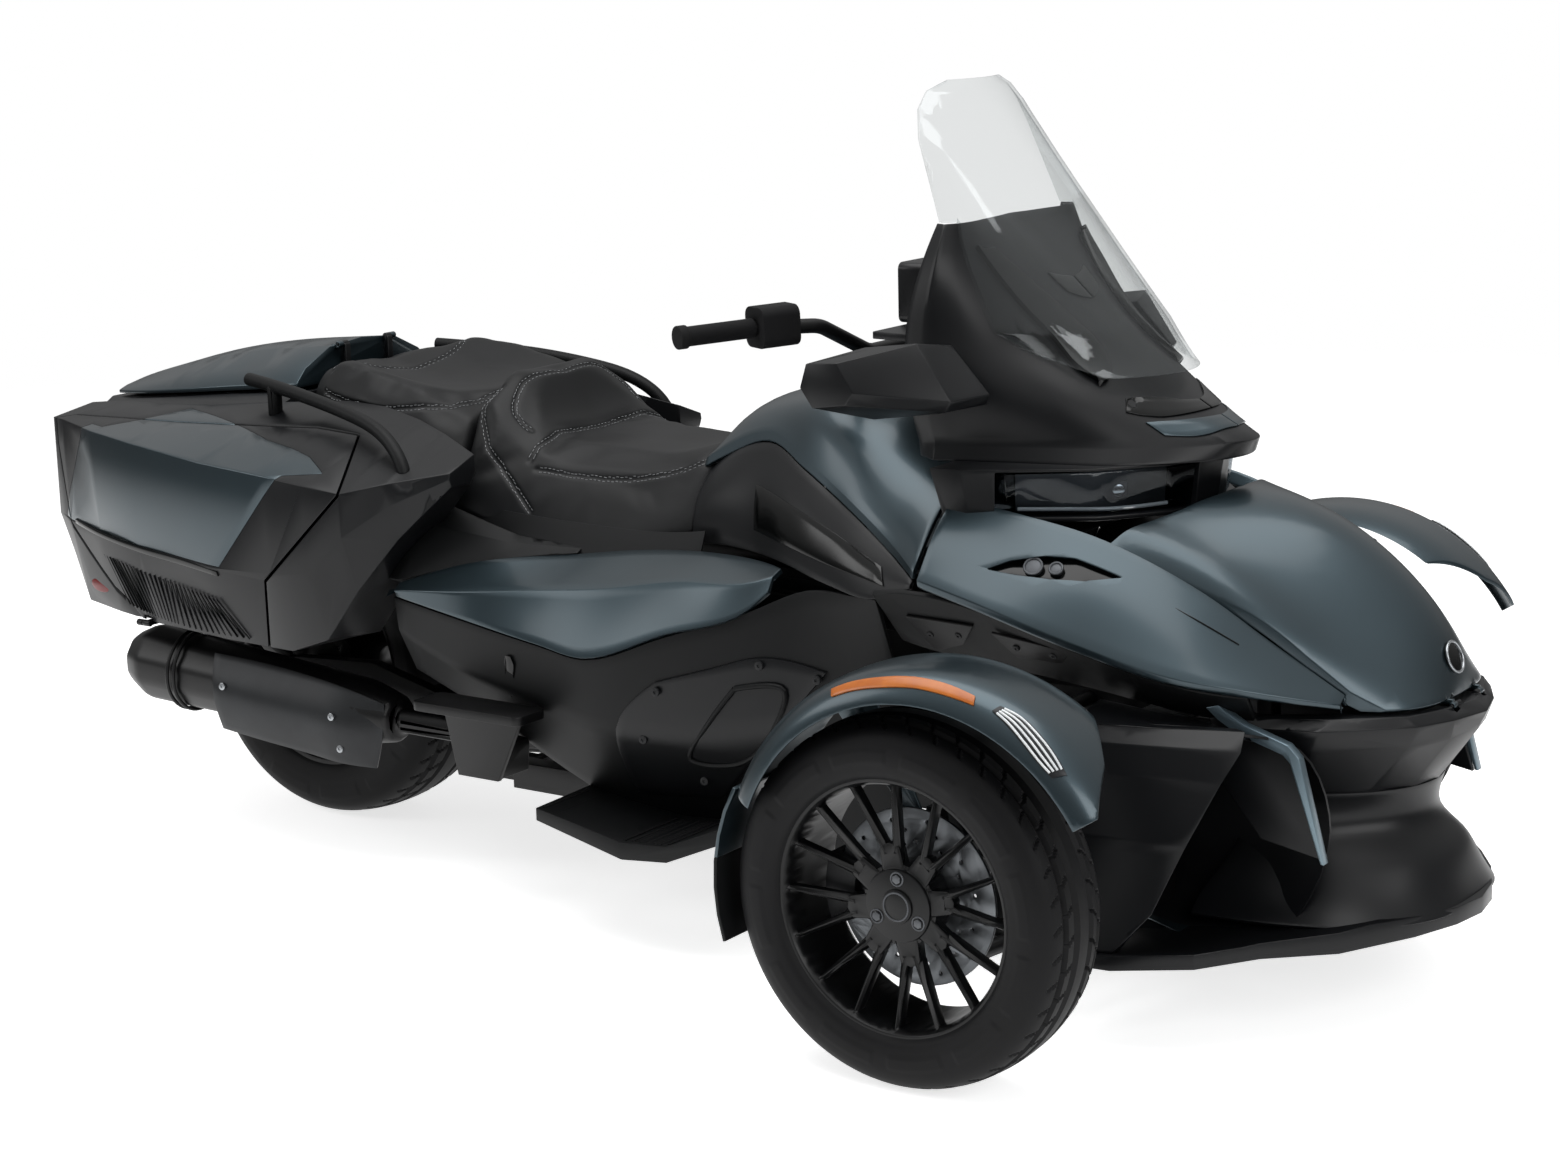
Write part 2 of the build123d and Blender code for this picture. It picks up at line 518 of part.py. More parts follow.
with BuildPart() as front_suspension:
    for ball_z, root_z, root_y, spread in ((LOWER_BALL_Z, 172, 168, 105), (UPPER_BALL_Z, 440, 168, 70)):
        for end in (-1, 1):
            rod((FRONT_AXLE_X + end * spread, -root_y, root_z), (FRONT_AXLE_X, -KINGPIN_Y + 8, ball_z), ARM_R)
            with BuildSketch(Plane.YZ.offset(FRONT_AXLE_X + end * spread - 20)):
                with Locations((-root_y, root_z)):
                    Circle(ARM_R + 5)
            extrude(amount=40)
        with BuildSketch(Plane.XY.offset(ball_z - BALL_EYE_T / 2)):
            with Locations((FRONT_AXLE_X, -KINGPIN_Y)):
                Circle(BALL_EYE_R)
        extrude(amount=BALL_EYE_T)
    with BuildSketch(Plane.XY.offset(LOWER_BALL_Z + BALL_EYE_T / 2)):
        with Locations((FRONT_AXLE_X, -KINGPIN_Y)):
            Circle(60)
    extrude(amount=60, mode=Mode.SUBTRACT)
    with BuildSketch(Plane.XY.offset(UPPER_BALL_Z - BALL_EYE_T / 2)):
        with Locations((FRONT_AXLE_X, -KINGPIN_Y)):
            Circle(60)
    extrude(amount=-60, mode=Mode.SUBTRACT)
    # Coil-over dampers stand on the lower arms.
    rod((FRONT_AXLE_X, -430, 178), (FRONT_AXLE_X, -300, 430), 30)
    rod((FRONT_AXLE_X, -440, 158), (FRONT_AXLE_X, -287, 455), 12)
    rod((FRONT_AXLE_X - 30, -440, 160), (FRONT_AXLE_X + 30, -440, 160), 12)
    rod((FRONT_AXLE_X, -RAIL_Y - 16, 462), (FRONT_AXLE_X, -292, 462), 14)
    mirror(about=Plane.XZ)
    for ball_z in (LOWER_BALL_Z, UPPER_BALL_Z):
        with BuildSketch(Plane.XY.offset(ball_z - BALL_EYE_T / 2)):
            with Locations((FRONT_AXLE_X, -KINGPIN_Y), (FRONT_AXLE_X, KINGPIN_Y)):
                Circle(BALL_PIN_R + BEARING_GAP)
        extrude(amount=BALL_EYE_T, mode=Mode.SUBTRACT)
    add(frame.part, mode=Mode.SUBTRACT)

with BuildPart() as rear_suspension:
    for side in (-1, 1):
        with BuildSketch(Plane.XZ.offset(-side * (SWING_ARM_Y + 26))):
            outline(
                (-455, 238), (-455, 286), (-700, 345), (-880, 335), (-945, 325), (-945, 282),
                (-880, 272), (-700, 285),
            )
        extrude(amount=side * 26)
        with BuildSketch(Plane.XZ.offset(-side * (SWING_ARM_Y + 26))):
            with Locations(SWING_PIVOT):
                Circle(20)
        extrude(amount=side * (SWING_ARM_Y + 26 - PIVOT_PLATE_Y))
    # A cross tube ahead of the tyre joins the two arms below the belt's upper run.
    rod((-560, -SWING_ARM_Y - 4, 292), (-560, SWING_ARM_Y + 4, 292), 22)
    rod(
        (REAR_AXLE_X, -SWING_ARM_Y - 26, REAR_TYRE_R),
        (REAR_AXLE_X, SWING_ARM_Y + 26, REAR_TYRE_R),
        REAR_AXLE_R,
    )
    rod((-556, 0, 300), (-556, 0, 570), 28)
    # Caliper over the rear of the brake disc.
    with BuildSketch(Plane.XZ.offset(REAR_DISC_FACE_Y - 24)):
        outline((-1000, 345), (-940, 400), (-965, 425), (-1035, 370))
    extrude(amount=SWING_ARM_Y - REAR_DISC_FACE_Y + 34)
    with BuildSketch(Plane.XZ.offset(SWING_ARM_Y)):
        outline((-1030, 375), (-945, 290), (-900, 300), (-975, 410))
    extrude(amount=12)
    with BuildSketch(Plane.XZ.offset(REAR_DISC_FACE_Y - REAR_DISC_T - DISC_GAP)):
        with Locations((REAR_AXLE_X, REAR_TYRE_R)):
            Circle(REAR_DISC_R + 3)
            Circle(REAR_HUB_R, mode=Mode.SUBTRACT)
    extrude(amount=REAR_DISC_T + 2 * DISC_GAP, mode=Mode.SUBTRACT)
    add(frame.part, mode=Mode.SUBTRACT)

# ---- Nose ----------------------------------------------------------------------------
# Side profiles of the hood's outer face, each from its rear end to its front edge, by their
# distance from the middle plane.
HOOD_PROFILES = {
    0: [(1000, 800), (1155, 765), (1272, 691), (1350, 597), (1378, 512)],
    100: [(985, 792), (1112, 747), (1230, 668), (1318, 580), (1367, 512)],
    180: [(940, 780), (1050, 733), (1150, 668), (1225, 600), (1292, 512)],
    235: [(890, 780), (980, 738), (1065, 680), (1135, 600), (1185, 512)],
    285: [(870, 758), (940, 715), (1000, 655), (1050, 585), (1090, 512)],
}
HOOD_SEAM = [
    (1008, 0), (1000, 60), (975, 140), (914, 268), (1065, 236), (1210, 200), (1272, 181), (1325, 158),
]
HOOD_SEAM += [(1362, 128), (1390, 60), (1400, 0)]
HOOD_WALL = 14
BEAK_TOP_Z, FASCIA_TOP_Z = 503, 372


def hood_profile(points, sink):
    """The profile lowered into the nose by a depth square to its general slope."""
    return [(x - 0.62 * sink, z - 0.78 * sink) for x, z in points]


def hood_section(points, near, far):
    """Closed section between two depths below the outer face."""
    with BuildLine() as line:
        outer, inner = hood_profile(points, near), hood_profile(points, far)
        Spline(*outer)
        Line(outer[-1], inner[-1])
        Spline(*reversed(inner))
        Line(inner[0], outer[0])
    return line.edges()


with BuildPart() as hood:
    for y in (-285, -235, -180, -100, 0, 100, 180, 235, 285):
        with BuildSketch(Plane.XZ.offset(-y)):
            make_face(hood_section(HOOD_PROFILES[abs(y)], 0, HOOD_WALL))
    loft()
    with BuildSketch(Plane.XY.offset(BEAK_TOP_Z + SEAM)):
        outline(*HOOD_SEAM, *[(x, -y) for x, y in reversed(HOOD_SEAM[1:-1])])
    extrude(amount=400, mode=Mode.INTERSECT)
    for side in (-1, 1):
        rod(
            (HOOD_HINGE[0], side * 44.3, HOOD_HINGE[1]),
            (HOOD_HINGE[0], side * 58, HOOD_HINGE[1]),
            HINGE_R - 1,
        )
        block(
            (HOOD_HINGE[0] - 19, side * HOOD_BARREL_Y - 4, HOOD_HINGE[1]),
            (HOOD_HINGE[0], side * HOOD_BARREL_Y + 4, HOOD_HINGE[1] + 9),
        )
        rod(
            (HOOD_HINGE[0], side * 44, HOOD_HINGE[1]),
            (HOOD_HINGE[0], side * 59, HOOD_HINGE[1]),
            HINGE_PIN_R + HINGE_GAP,
            Mode.SUBTRACT,
        )

# The seam's outline widened by its gap clears the fixed panels round the hood.
with BuildPart() as hood_opening:
    with BuildSketch(Plane.XY.offset(BEAK_TOP_Z + 1)):
        outline(*HOOD_SEAM, *[(x, -y) for x, y in reversed(HOOD_SEAM[1:-1])])
        offset(amount=SEAM, kind=Kind.INTERSECTION)
    extrude(amount=400)

# The painted panels beside the hood, from the seam down to the crease.
FRONT_PANEL_SECTIONS = {
    655: [(292, 800), (345, 758), (403, 688), (400, 676), (385, 672), (280, 780)],
    734: [(285, 787), (335, 740), (400, 668), (397, 655), (380, 655), (272, 768)],
    914: [(273, 751), (330, 700), (392, 618), (388, 605), (372, 606), (258, 730)],
    1065: [(241, 678), (290, 640), (355, 573), (350, 561), (335, 562), (227, 660)],
    1160: [(217, 612), (258, 585), (303, 553), (298, 542), (285, 544), (205, 594)],
    1270: [(187, 535), (196, 530), (205, 524), (203, 516), (196, 516), (182, 518)],
}
with BuildPart() as front_panels:
    for x, section in FRONT_PANEL_SECTIONS.items():
        with BuildSketch(Plane.YZ.offset(x)):
            outline(*section)
    loft(ruled=True)
    mirror(about=Plane.XZ)
    add(hood_opening.part, mode=Mode.SUBTRACT)

BEAK_LEVELS = {
    BEAK_TOP_Z: [
        (1398, 0), (1380, 80), (1352, 145), (1262, 215), (1115, 285), (1100, 268), (1240, 190),
        (1335, 90), (1340, 0),
    ],
    488: [
        (1418, 0), (1398, 78), (1366, 145), (1256, 243), (1112, 284), (1098, 262), (1225, 190),
        (1330, 90), (1338, 0),
    ],
    455: [
        (1402, 0), (1388, 70), (1352, 140), (1240, 238), (1108, 270), (1095, 250), (1215, 185),
        (1318, 85), (1325, 0),
    ],
    FASCIA_TOP_Z: [
        (1342, 0), (1330, 60), (1285, 130), (1200, 188), (1100, 215), (1090, 200), (1185, 165),
        (1270, 75), (1280, 0),
    ],
}
with BuildPart() as nose_beak:
    for z, half in BEAK_LEVELS.items():
        with BuildSketch(Plane.XY.offset(z)):
            outline(*half, *[(x, -y) for x, y in reversed(half) if y])
    loft(ruled=True)
    add(frame.part, mode=Mode.SUBTRACT)
    # Hinge barrels of the hood, with a recess beside each for the hood's own barrel.
    for side in (-1, 1):
        block(
            (HOOD_HINGE[0] - 22, side * (HOOD_BARREL_Y + 0.5) - 8, 490),
            (HOOD_HINGE[0] + 8, side * (HOOD_BARREL_Y + 0.5) + 8, 530),
            Mode.SUBTRACT,
        )
        rod((HOOD_HINGE[0], side * 30, HOOD_HINGE[1]), (HOOD_HINGE[0], side * 44, HOOD_HINGE[1]), HINGE_R - 1)
        rod((HOOD_HINGE[0], side * 40, HOOD_HINGE[1]), (HOOD_HINGE[0], side * 62, HOOD_HINGE[1]), HINGE_PIN_R)

# Dark liners below the crease, falling inwards over the suspension.
LINER_EDGES = {
    560: ((384, 652), (296, 560)),
    734: ((392, 651), (300, 540)),
    914: ((384, 603), (296, 522)),
    1065: ((346, 558), (288, 502)),
    1160: ((294, 540), (262, 494)),
}
LINER_WALL = 6
with BuildPart() as front_liners:
    for x, ((top_y, top_z), (low_y, low_z)) in LINER_EDGES.items():
        with BuildSketch(Plane.YZ.offset(x)):
            outline((top_y, top_z), (low_y, low_z), (low_y - LINER_WALL, low_z + LINER_WALL),
                    (top_y - LINER_WALL, top_z + LINER_WALL))
    loft()
    mirror(about=Plane.XZ)
    add(front_panels.part, mode=Mode.SUBTRACT)
    add(nose_beak.part, mode=Mode.SUBTRACT)

SPLITTER_PLAN = [
    (1418, 0), (1406, 70), (1372, 150), (1300, 262), (1200, 322), (1130, 400), (1010, 442), (925, 432),
]
SPLITTER_PLAN += [(925, 300), (1010, 290), (1080, 190), (1120, 0)]
with BuildPart() as front_splitter:
    with BuildSketch(Plane.XY.offset(100)):
        outline(*SPLITTER_PLAN, *[(x, -y) for x, y in reversed(SPLITTER_PLAN[1:-1])])
    extrude(amount=140)
    with BuildSketch(Plane.XZ.offset(-460)):
        outline((1430, 168), (1430, 194), (1330, 196), (1180, 172), (920, 148), (920, 125), (1180, 148))
    extrude(amount=920, mode=Mode.INTERSECT)
    add(frame.part, mode=Mode.SUBTRACT)

FASCIA_LEVELS = {
    FASCIA_TOP_Z: [
        (1340, 0), (1328, 58), (1255, 120), (1180, 130), (1180, 112), (1245, 100), (1300, 45),
        (1310, 0),
    ],
    325: [(1334, 0), (1322, 55), (1250, 118), (1175, 130), (1175, 112), (1240, 100), (1300, 40), (1308, 0)],
    262: [(1378, 0), (1360, 88), (1272, 150), (1165, 165), (1165, 145), (1262, 130), (1340, 75), (1350, 0)],
    188: [(1404, 0), (1388, 110), (1308, 192), (1150, 215), (1150, 190), (1298, 170), (1365, 90), (1378, 0)],
}
with BuildPart() as front_fascia:
    for z, half in FASCIA_LEVELS.items():
        with BuildSketch(Plane.XY.offset(z)):
            outline(*half, *[(x, -y) for x, y in reversed(half) if y])
    loft(ruled=True)
    # The low air slot.
    with BuildSketch(Plane.YZ.offset(1330)):
        outline((-92, 205), (92, 205), (76, 232), (-76, 232))
    extrude(amount=120, mode=Mode.SUBTRACT)
    for piece in (front_splitter, nose_beak):
        add(piece.part, mode=Mode.SUBTRACT)

BLADE_Y, BLADE_T = 286, 18
BLADE_EDGE = [(1092, 548), (1128, 520), (1160, 502), (1232, 480), (1250, 462), (1292, 305)]
BLADE_INSIDE = [(1286, 306), (1236, 452), (1224, 464), (1150, 486), (1118, 504), (1086, 530)]
BLADE_PLATE = [
    (1287, 306), (1182, 324), (1122, 398), (1096, 500), (1121, 508), (1152, 491), (1228, 469),
    (1241, 454),
]
PLATE_T = 10
with BuildPart() as air_blades:
    with BuildSketch(Plane.XZ.offset(BLADE_Y)):
        outline(*BLADE_EDGE, *BLADE_INSIDE)
    extrude(amount=BLADE_T)
    for piece in (nose_beak, front_panels, front_liners):
        add(piece.part, mode=Mode.SUBTRACT)
    mirror(about=Plane.XZ)

# Pods outside the air intakes: an upright wall that curls inwards along its top.
POD_LEVELS = {
    150: [(925, 432), (1003, 431), (1003, 418), (925, 418)],
    225: [(925, 434), (1070, 420), (1062, 406), (925, 420)],
    333: [(925, 434), (1120, 412), (1110, 398), (925, 420)],
    430: [(925, 432), (1165, 388), (1152, 376), (925, 418)],
    478: [(925, 430), (1188, 368), (1172, 356), (925, 412)],
    502: [(925, 418), (1180, 338), (1160, 326), (925, 398)],
}
with BuildPart() as intake_pods:
    for z, section in POD_LEVELS.items():
        with BuildSketch(Plane.XY.offset(z)):
            outline(*section)
    loft(ruled=True)
    for x, section in {
        925: [(400, 500), (418, 503), (310, 514), (310, 500)],
        1172: [(326, 486), (344, 498), (290, 486), (290, 474)],
    }.items():
        with BuildSketch(Plane.YZ.offset(x)):
            outline(*section)
    loft()
    # A flat plate behind each blade shades the intake.
    with BuildSketch(Plane.XZ.offset(BLADE_Y - PLATE_T)):
        outline(*BLADE_PLATE)
    extrude(amount=PLATE_T)
    mirror(about=Plane.XZ)
    for piece in (front_splitter, air_blades, nose_beak, front_panels, front_liners):
        add(piece.part, mode=Mode.SUBTRACT)

with BuildPart() as radiators:
    with BuildSketch(Plane.YZ.offset(RADIATOR_X)):
        with Locations((290, 330)):
            Rectangle(210, 300)
    extrude(amount=28)
    mirror(about=Plane.XZ)
    add(frame.part, mode=Mode.SUBTRACT)

# Load tub below the hood.
TUB_SIDE = [(945, TUB_Z), (945, 690), (1010, 690), (1130, 640), (1215, 575), (1215, TUB_Z)]
TUB_WALL = 4
with BuildPart() as storage_tub:
    with BuildSketch(Plane.XZ.offset(-150)):
        outline(*TUB_SIDE)
    extrude(amount=300)
    with BuildSketch(Plane.XZ.offset(-150 + TUB_WALL)):
        outline(
            (945 + TUB_WALL, TUB_Z + TUB_WALL), (945 + TUB_WALL, 760), (1215 - TUB_WALL, 760),
            (1215 - TUB_WALL, TUB_Z + TUB_WALL),
        )
    extrude(amount=300 - 2 * TUB_WALL, mode=Mode.SUBTRACT)

# ---- Headlights and upper fairing --------------------------------------------------------
HOUSING_TOP_Z = 848
HEADLIGHT_TOP = [(632, 0), (632, 325), (680, 318), (735, 292), (860, 215), (940, 120), (975, 0)]
HEADLIGHT_LOW = [(650, 0), (650, 312), (690, 306), (734, 288), (866, 205), (940, 110), (962, 0)]
# Each lens fills a recess in the front of the housing, from its outer corner to the middle.
LENS_LOW_RUN = [(742, 274), (868, 194), (936, 96), (948, 60)]
LENS_TOP_RUN = [(742, 284), (862, 205), (940, 106), (956, 60)]
LENS_GAP = 3
with BuildPart() as lens_recess:
    for z in (775 - LENS_GAP, 840 + LENS_GAP):
        with BuildSketch(Plane.XY.offset(z)):
            outline((737, 300), (880, 225), (990, 110), (990, 57), (880, 40), (820, 150), (680, 240))
    loft(ruled=True)
    mirror(about=Plane.XZ)
with BuildPart() as headlight_housing:
    for z, half in ((HOUSING_Z, HEADLIGHT_LOW), (HOUSING_TOP_Z, HEADLIGHT_TOP)):
        with BuildSketch(Plane.XY.offset(z)):
            outline(*half, *[(x, -y) for x, y in reversed(half) if y])
    loft(ruled=True)
    for piece in (lens_recess, front_panels, hood_opening, frame):
        add(piece.part, mode=Mode.SUBTRACT)
with BuildPart() as headlight_lenses:
    for z, run in ((775, LENS_LOW_RUN), (840, LENS_TOP_RUN)):
        with BuildSketch(Plane.XY.offset(z)):
            outline(*run, *[(x - 40, y - 14) for x, y in reversed(run)])
    loft(ruled=True)
    mirror(about=Plane.XZ)
    add(headlight_housing.part, mode=Mode.SUBTRACT)

BROW_LEVELS = {
    HOUSING_TOP_Z: [(560, 235), (600, 262), (700, 232), (860, 190), (960, 110), (1005, 50), (1015, 0)],
    875: [(560, 240), (600, 255), (700, 225), (858, 172), (985, 72), (1022, 30), (1030, 0)],
    945: [(552, 256), (592, 260), (690, 235), (800, 180), (880, 90), (900, 40), (905, 0)],
    1040: [(540, 244), (580, 252), (655, 222), (720, 160), (768, 80), (782, 40), (785, 0)],
    1160: [(562, 222), (592, 232), (612, 206), (640, 150), (652, 80), (654, 40), (652, 0)],
    1212: [(572, 196), (590, 204), (603, 184), (606, 130), (600, 80), (596, 40), (590, 0)],
}
FAIRING_WALL = 14


def fairing_outline(half, wall):
    """Plan outline of the fairing drawn in by a wall; the inner one runs on rearwards."""
    points = [(x - 1.3 * wall, max(y - wall, 0)) for x, y in half]
    points[0] = (half[0][0] - 5 * wall, half[0][1] - wall)
    return outline(*points, *[(x, -y) for x, y in reversed(points) if y])


with BuildPart() as upper_fairing:
    for z, half in BROW_LEVELS.items():
        with BuildSketch(Plane.XY.offset(z)):
            fairing_outline(half, 0)
    loft(ruled=True)
    for z, half in BROW_LEVELS.items():
        with BuildSketch(Plane.XY.offset(z)):
            fairing_outline(half, FAIRING_WALL)
    loft(ruled=True, mode=Mode.SUBTRACT)

WINDSHIELD_T = 6
WINDSHIELD_ARCS = {
    975: [(842, 142), (893, 78), (914, 0)],
    1045: [(652, 206), (800, 134), (862, 0)],
    1200: [(583, 196), (690, 118), (728, 0)],
    1340: [(530, 176), (592, 98), (614, 0)],
    1385: [(518, 158), (562, 88), (578, 0)],
    1412: [(516, 128), (545, 72), (554, 0)],
    1427: [(525, 78), (537, 42), (541, 0)],
}
with BuildPart() as windshield:
    for z, half in WINDSHIELD_ARCS.items():
        outer = [*half, *[(x, -y) for x, y in reversed(half[:-1])]]
        inner = [(x - WINDSHIELD_T, y * 0.985) for x, y in outer]
        with BuildSketch(Plane.XY.offset(z)):
            with BuildLine():
                Spline(*outer)
                Line(outer[-1], inner[-1])
                Spline(*reversed(inner))
                Line(inner[0], outer[0])
            make_face()
    loft(ruled=True)
    add(upper_fairing.part, mode=Mode.SUBTRACT)

DISPLAY_X = 452
with BuildPart() as instrument_panel:
    with BuildSketch(Plane.YZ.offset(DISPLAY_X)):
        with Locations((0, 1089)):
            RectangleRounded(250, 98, 12)
    extrude(amount=44)
    # The tray behind the fairing carries the display.
    with BuildSketch(Plane.XY.offset(1028)):
        fairing_outline(BROW_LEVELS[1040], FAIRING_WALL)
    extrude(amount=12)
    add(upper_fairing.part, mode=Mode.SUBTRACT)

MIRROR_SECTIONS = {
    300: [(640, 930), (722, 950), (728, 966), (660, 1038), (600, 1030), (590, 950)],
    370: [(560, 925), (690, 945), (700, 962), (640, 1048), (545, 1036), (530, 960)],
    450: [(500, 950), (560, 958), (575, 978), (545, 1022), (490, 1018), (478, 980)],
}
with BuildPart() as mirrors:
    for y, section in MIRROR_SECTIONS.items():
        with BuildSketch(Plane.XZ.offset(-y)):
            outline(*section)
    loft(ruled=True)
    rod((612, 310, 985), (612, 235, 985), 16)
    mirror(about=Plane.XZ)
    add(upper_fairing.part, mode=Mode.SUBTRACT)

# ---- Tank cover, knee panels and side panels -----------------------------------------------
TANK_SECTIONS = {
    75: [(0, 818), (60, 815), (105, 806), (146, 792), (152, 778)],
    120: [(0, 868), (60, 864), (110, 848), (150, 818), (157, 800)],
    230: [(0, 912), (70, 908), (130, 892), (172, 855), (180, 838)],
    330: [(0, 925), (100, 922), (175, 902), (222, 824), (228, 808)],
    436: [(0, 925), (120, 915), (215, 868), (268, 780), (272, 765)],
    562: [(0, 880), (140, 862), (245, 815), (326, 722), (330, 708)],
    628: [(0, 853), (150, 841), (268, 790), (370, 693), (373, 681)],
}
TANK_WALL = 10


def draw_in(half, wall):
    """A cross-section's half outline drawn inwards and down by a wall."""
    return [(max(y - wall, 0), z - wall) for y, z in half]


with BuildPart() as tank_cover:
    for x, half in TANK_SECTIONS.items():
        with BuildSketch(Plane.YZ.offset(x)):
            mirrored(*half)
    loft()
    for x, half in TANK_SECTIONS.items():
        with BuildSketch(Plane.YZ.offset(x)):
            mirrored(*draw_in(half[:-1], TANK_WALL), (half[-1][0] - TANK_WALL, half[-1][1] - 60))
    loft(mode=Mode.SUBTRACT)
    with BuildSketch(column_plane(600)):
        Rectangle(80, 60)
    extrude(amount=600, mode=Mode.SUBTRACT)

KNEE_SECTIONS = {
    85: [(150, 772), (208, 655)],
    120: [(155, 798), (214, 660)],
    230: [(178, 836), (246, 664)],
    330: [(226, 806), (290, 660)],
    436: [(270, 763), (330, 645)],
    562: [(328, 706), (372, 642)],
    628: [(371, 679), (381, 667)],
}
with BuildPart() as knee_panels:
    for x, ((top_y, top_z), (low_y, low_z)) in KNEE_SECTIONS.items():
        with BuildSketch(Plane.YZ.offset(x)):
            outline((top_y, top_z), (low_y, low_z), (low_y - SKIN, low_z), (top_y - SKIN, top_z))
    loft()
    mirror(about=Plane.XZ)
    add(tank_cover.part, mode=Mode.SUBTRACT)
    add(front_panels.part, mode=Mode.SUBTRACT)
    add(front_liners.part, mode=Mode.SUBTRACT)

SIDE_PANEL_SECTIONS = {
    -420: [(388, 570), (400, 558), (396, 546)],
    -300: [(345, 608), (400, 568), (400, 528)],
    -100: [(272, 632), (378, 588), (408, 500)],
    0: [(256, 645), (368, 598), (413, 489)],
    150: [(250, 655), (345, 622), (388, 540)],
    300: [(282, 655), (335, 635), (355, 592)],
    330: [(298, 654), (322, 645), (338, 622)],
}
with BuildPart() as side_panels:
    for x, (top, middle, low) in SIDE_PANEL_SECTIONS.items():
        with BuildSketch(Plane.YZ.offset(x)):
            outline(top, middle, low, (low[0] - SKIN, low[1]), (middle[0] - SKIN, middle[1] - 5),
                    (top[0] - SKIN, top[1] - 5))
    loft()
    mirror(about=Plane.XZ)
    add(knee_panels.part, mode=Mode.SUBTRACT)

LOWER_COVER_SECTIONS = {
    -440: [(380, 540), (372, 480), (330, 400)],
    -300: [(397, 524), (380, 430), (305, 330)],
    -100: [(404, 496), (385, 390), (290, 230)],
    0: [(409, 485), (385, 370), (282, 190)],
    150: [(385, 535), (372, 370), (272, 180)],
    300: [(352, 588), (352, 390), (262, 175)],
    400: [(334, 630), (336, 420), (256, 178)],
    500: [(350, 636), (318, 470), (250, 230)],
    555: [(366, 638), (312, 520), (252, 330)],
}
with BuildPart() as lower_covers:
    for x, (top, middle, low) in LOWER_COVER_SECTIONS.items():
        with BuildSketch(Plane.YZ.offset(x)):
            outline(top, middle, low, (low[0] - SKIN, low[1] + 6), (middle[0] - SKIN, middle[1] + 6),
                    (top[0] - SKIN, top[1]))
    loft(ruled=True)
    mirror(about=Plane.XZ)
    for piece in (side_panels, knee_panels, front_liners, front_panels, engine_block, frame):
        add(piece.part, mode=Mode.SUBTRACT)

with BuildPart() as footboards:
    with BuildSketch(Plane.XY.offset(120)):
        outline((-90, 285), (-84, 446), (105, 464), (325, 458), (332, 275))
    extrude(amount=200)
    with BuildSketch(Plane.XZ.offset(-480)):
        outline(
            (-95, 228), (110, 200), (200, 206), (335, 262), (335, 236), (200, 178), (110, 170),
            (-95, 206),
        )
    extrude(amount=250, mode=Mode.INTERSECT)
    mirror(about=Plane.XZ)
    add(lower_covers.part, mode=Mode.SUBTRACT)

# ---- Tail, load boxes and their doors ---------------------------------------------------
# Half sections of the left box: inner top, crease, ledge, lower corner, inner bottom, inner side.
BAG_SECTIONS = {
    -310: [(300, 792), (366, 768), (368, 757), (362, 744), (312, 742), (298, 762)],
    -400: [(268, 815), (425, 752), (426, 712), (405, 650), (300, 650), (266, 700)],
    -467: [(258, 835), (478, 737), (476, 660), (440, 560), (290, 560), (250, 650)],
    -548: [(253, 852), (484, 746), (480, 590), (438, 462), (300, 450), (215, 560)],
    -640: [(250, 856), (485, 755), (480, 580), (432, 430), (300, 425), (200, 540)],
    -800: [(245, 842), (478, 765), (470, 572), (428, 432), (290, 428), (198, 540)],
    -1000: [(240, 822), (455, 782), (446, 585), (408, 436), (270, 440), (196, 560)],
    -1130: [(236, 815), (425, 790), (415, 592), (378, 438), (255, 450), (192, 580)],
    -1260: [(225, 810), (372, 795), (368, 597), (335, 438), (240, 470), (188, 600)],
    -1345: [(215, 800), (318, 785), (318, 600), (290, 520), (235, 520), (188, 620)],
}
BAG_WALL = 10


def shrink_section(points, wall):
    """A section drawn towards its own middle by a wall on every side."""
    mid_y = sum(y for y, z in points) / len(points)
    mid_z = sum(z for y, z in points) / len(points)
    return [
        (y - wall * (1.25 if y > mid_y else -1.25), z - wall * (1.25 if z > mid_z else -1.25))
        for y, z in points
    ]


with BuildPart() as bag_block:
    for x, section in BAG_SECTIONS.items():
        with BuildSketch(Plane.YZ.offset(x)):
            outline(*section)
    loft(ruled=True)
with BuildPart() as bag_cavity:
    for x, section in list(BAG_SECTIONS.items())[4:-1]:
        with BuildSketch(Plane.YZ.offset(x)):
            outline(*shrink_section(section, BAG_WALL))
    loft(ruled=True)
with BuildPart() as bag_shell:
    add(bag_block.part)
    add(bag_cavity.part, mode=Mode.SUBTRACT)

# The door takes the outer side of the box, behind a slanted seam.
DOOR_SEAM = [(-440, 900), (-470, 735), (-655, 565), (-676, 380), (-1450, 380), (-1450, 900)]
DOOR_HINGE_X = (-760, -1040)
DOOR_SIDE = [(338, 900), (338, 740), (395, 470), (395, 380), (600, 380), (600, 900)]
# The seam face leans back towards the middle of the vehicle, so the door swings out clear.
DOOR_DRAFT = 0.62
DOOR_FACE_Y = 480


def door_front(gap):
    """The slanted block behind the door's front seam, widened by a gap."""
    with BuildSketch(Plane.XZ.offset(-600)) as seam:
        outline(*[(x + DOOR_DRAFT * (600 - DOOR_FACE_Y), z) for x, z in DOOR_SEAM])
        if gap:
            offset(amount=gap, kind=Kind.INTERSECTION)
    extrude(seam.sketch, amount=600 * hypot(1, DOOR_DRAFT), dir=(-DOOR_DRAFT, -1, 0))


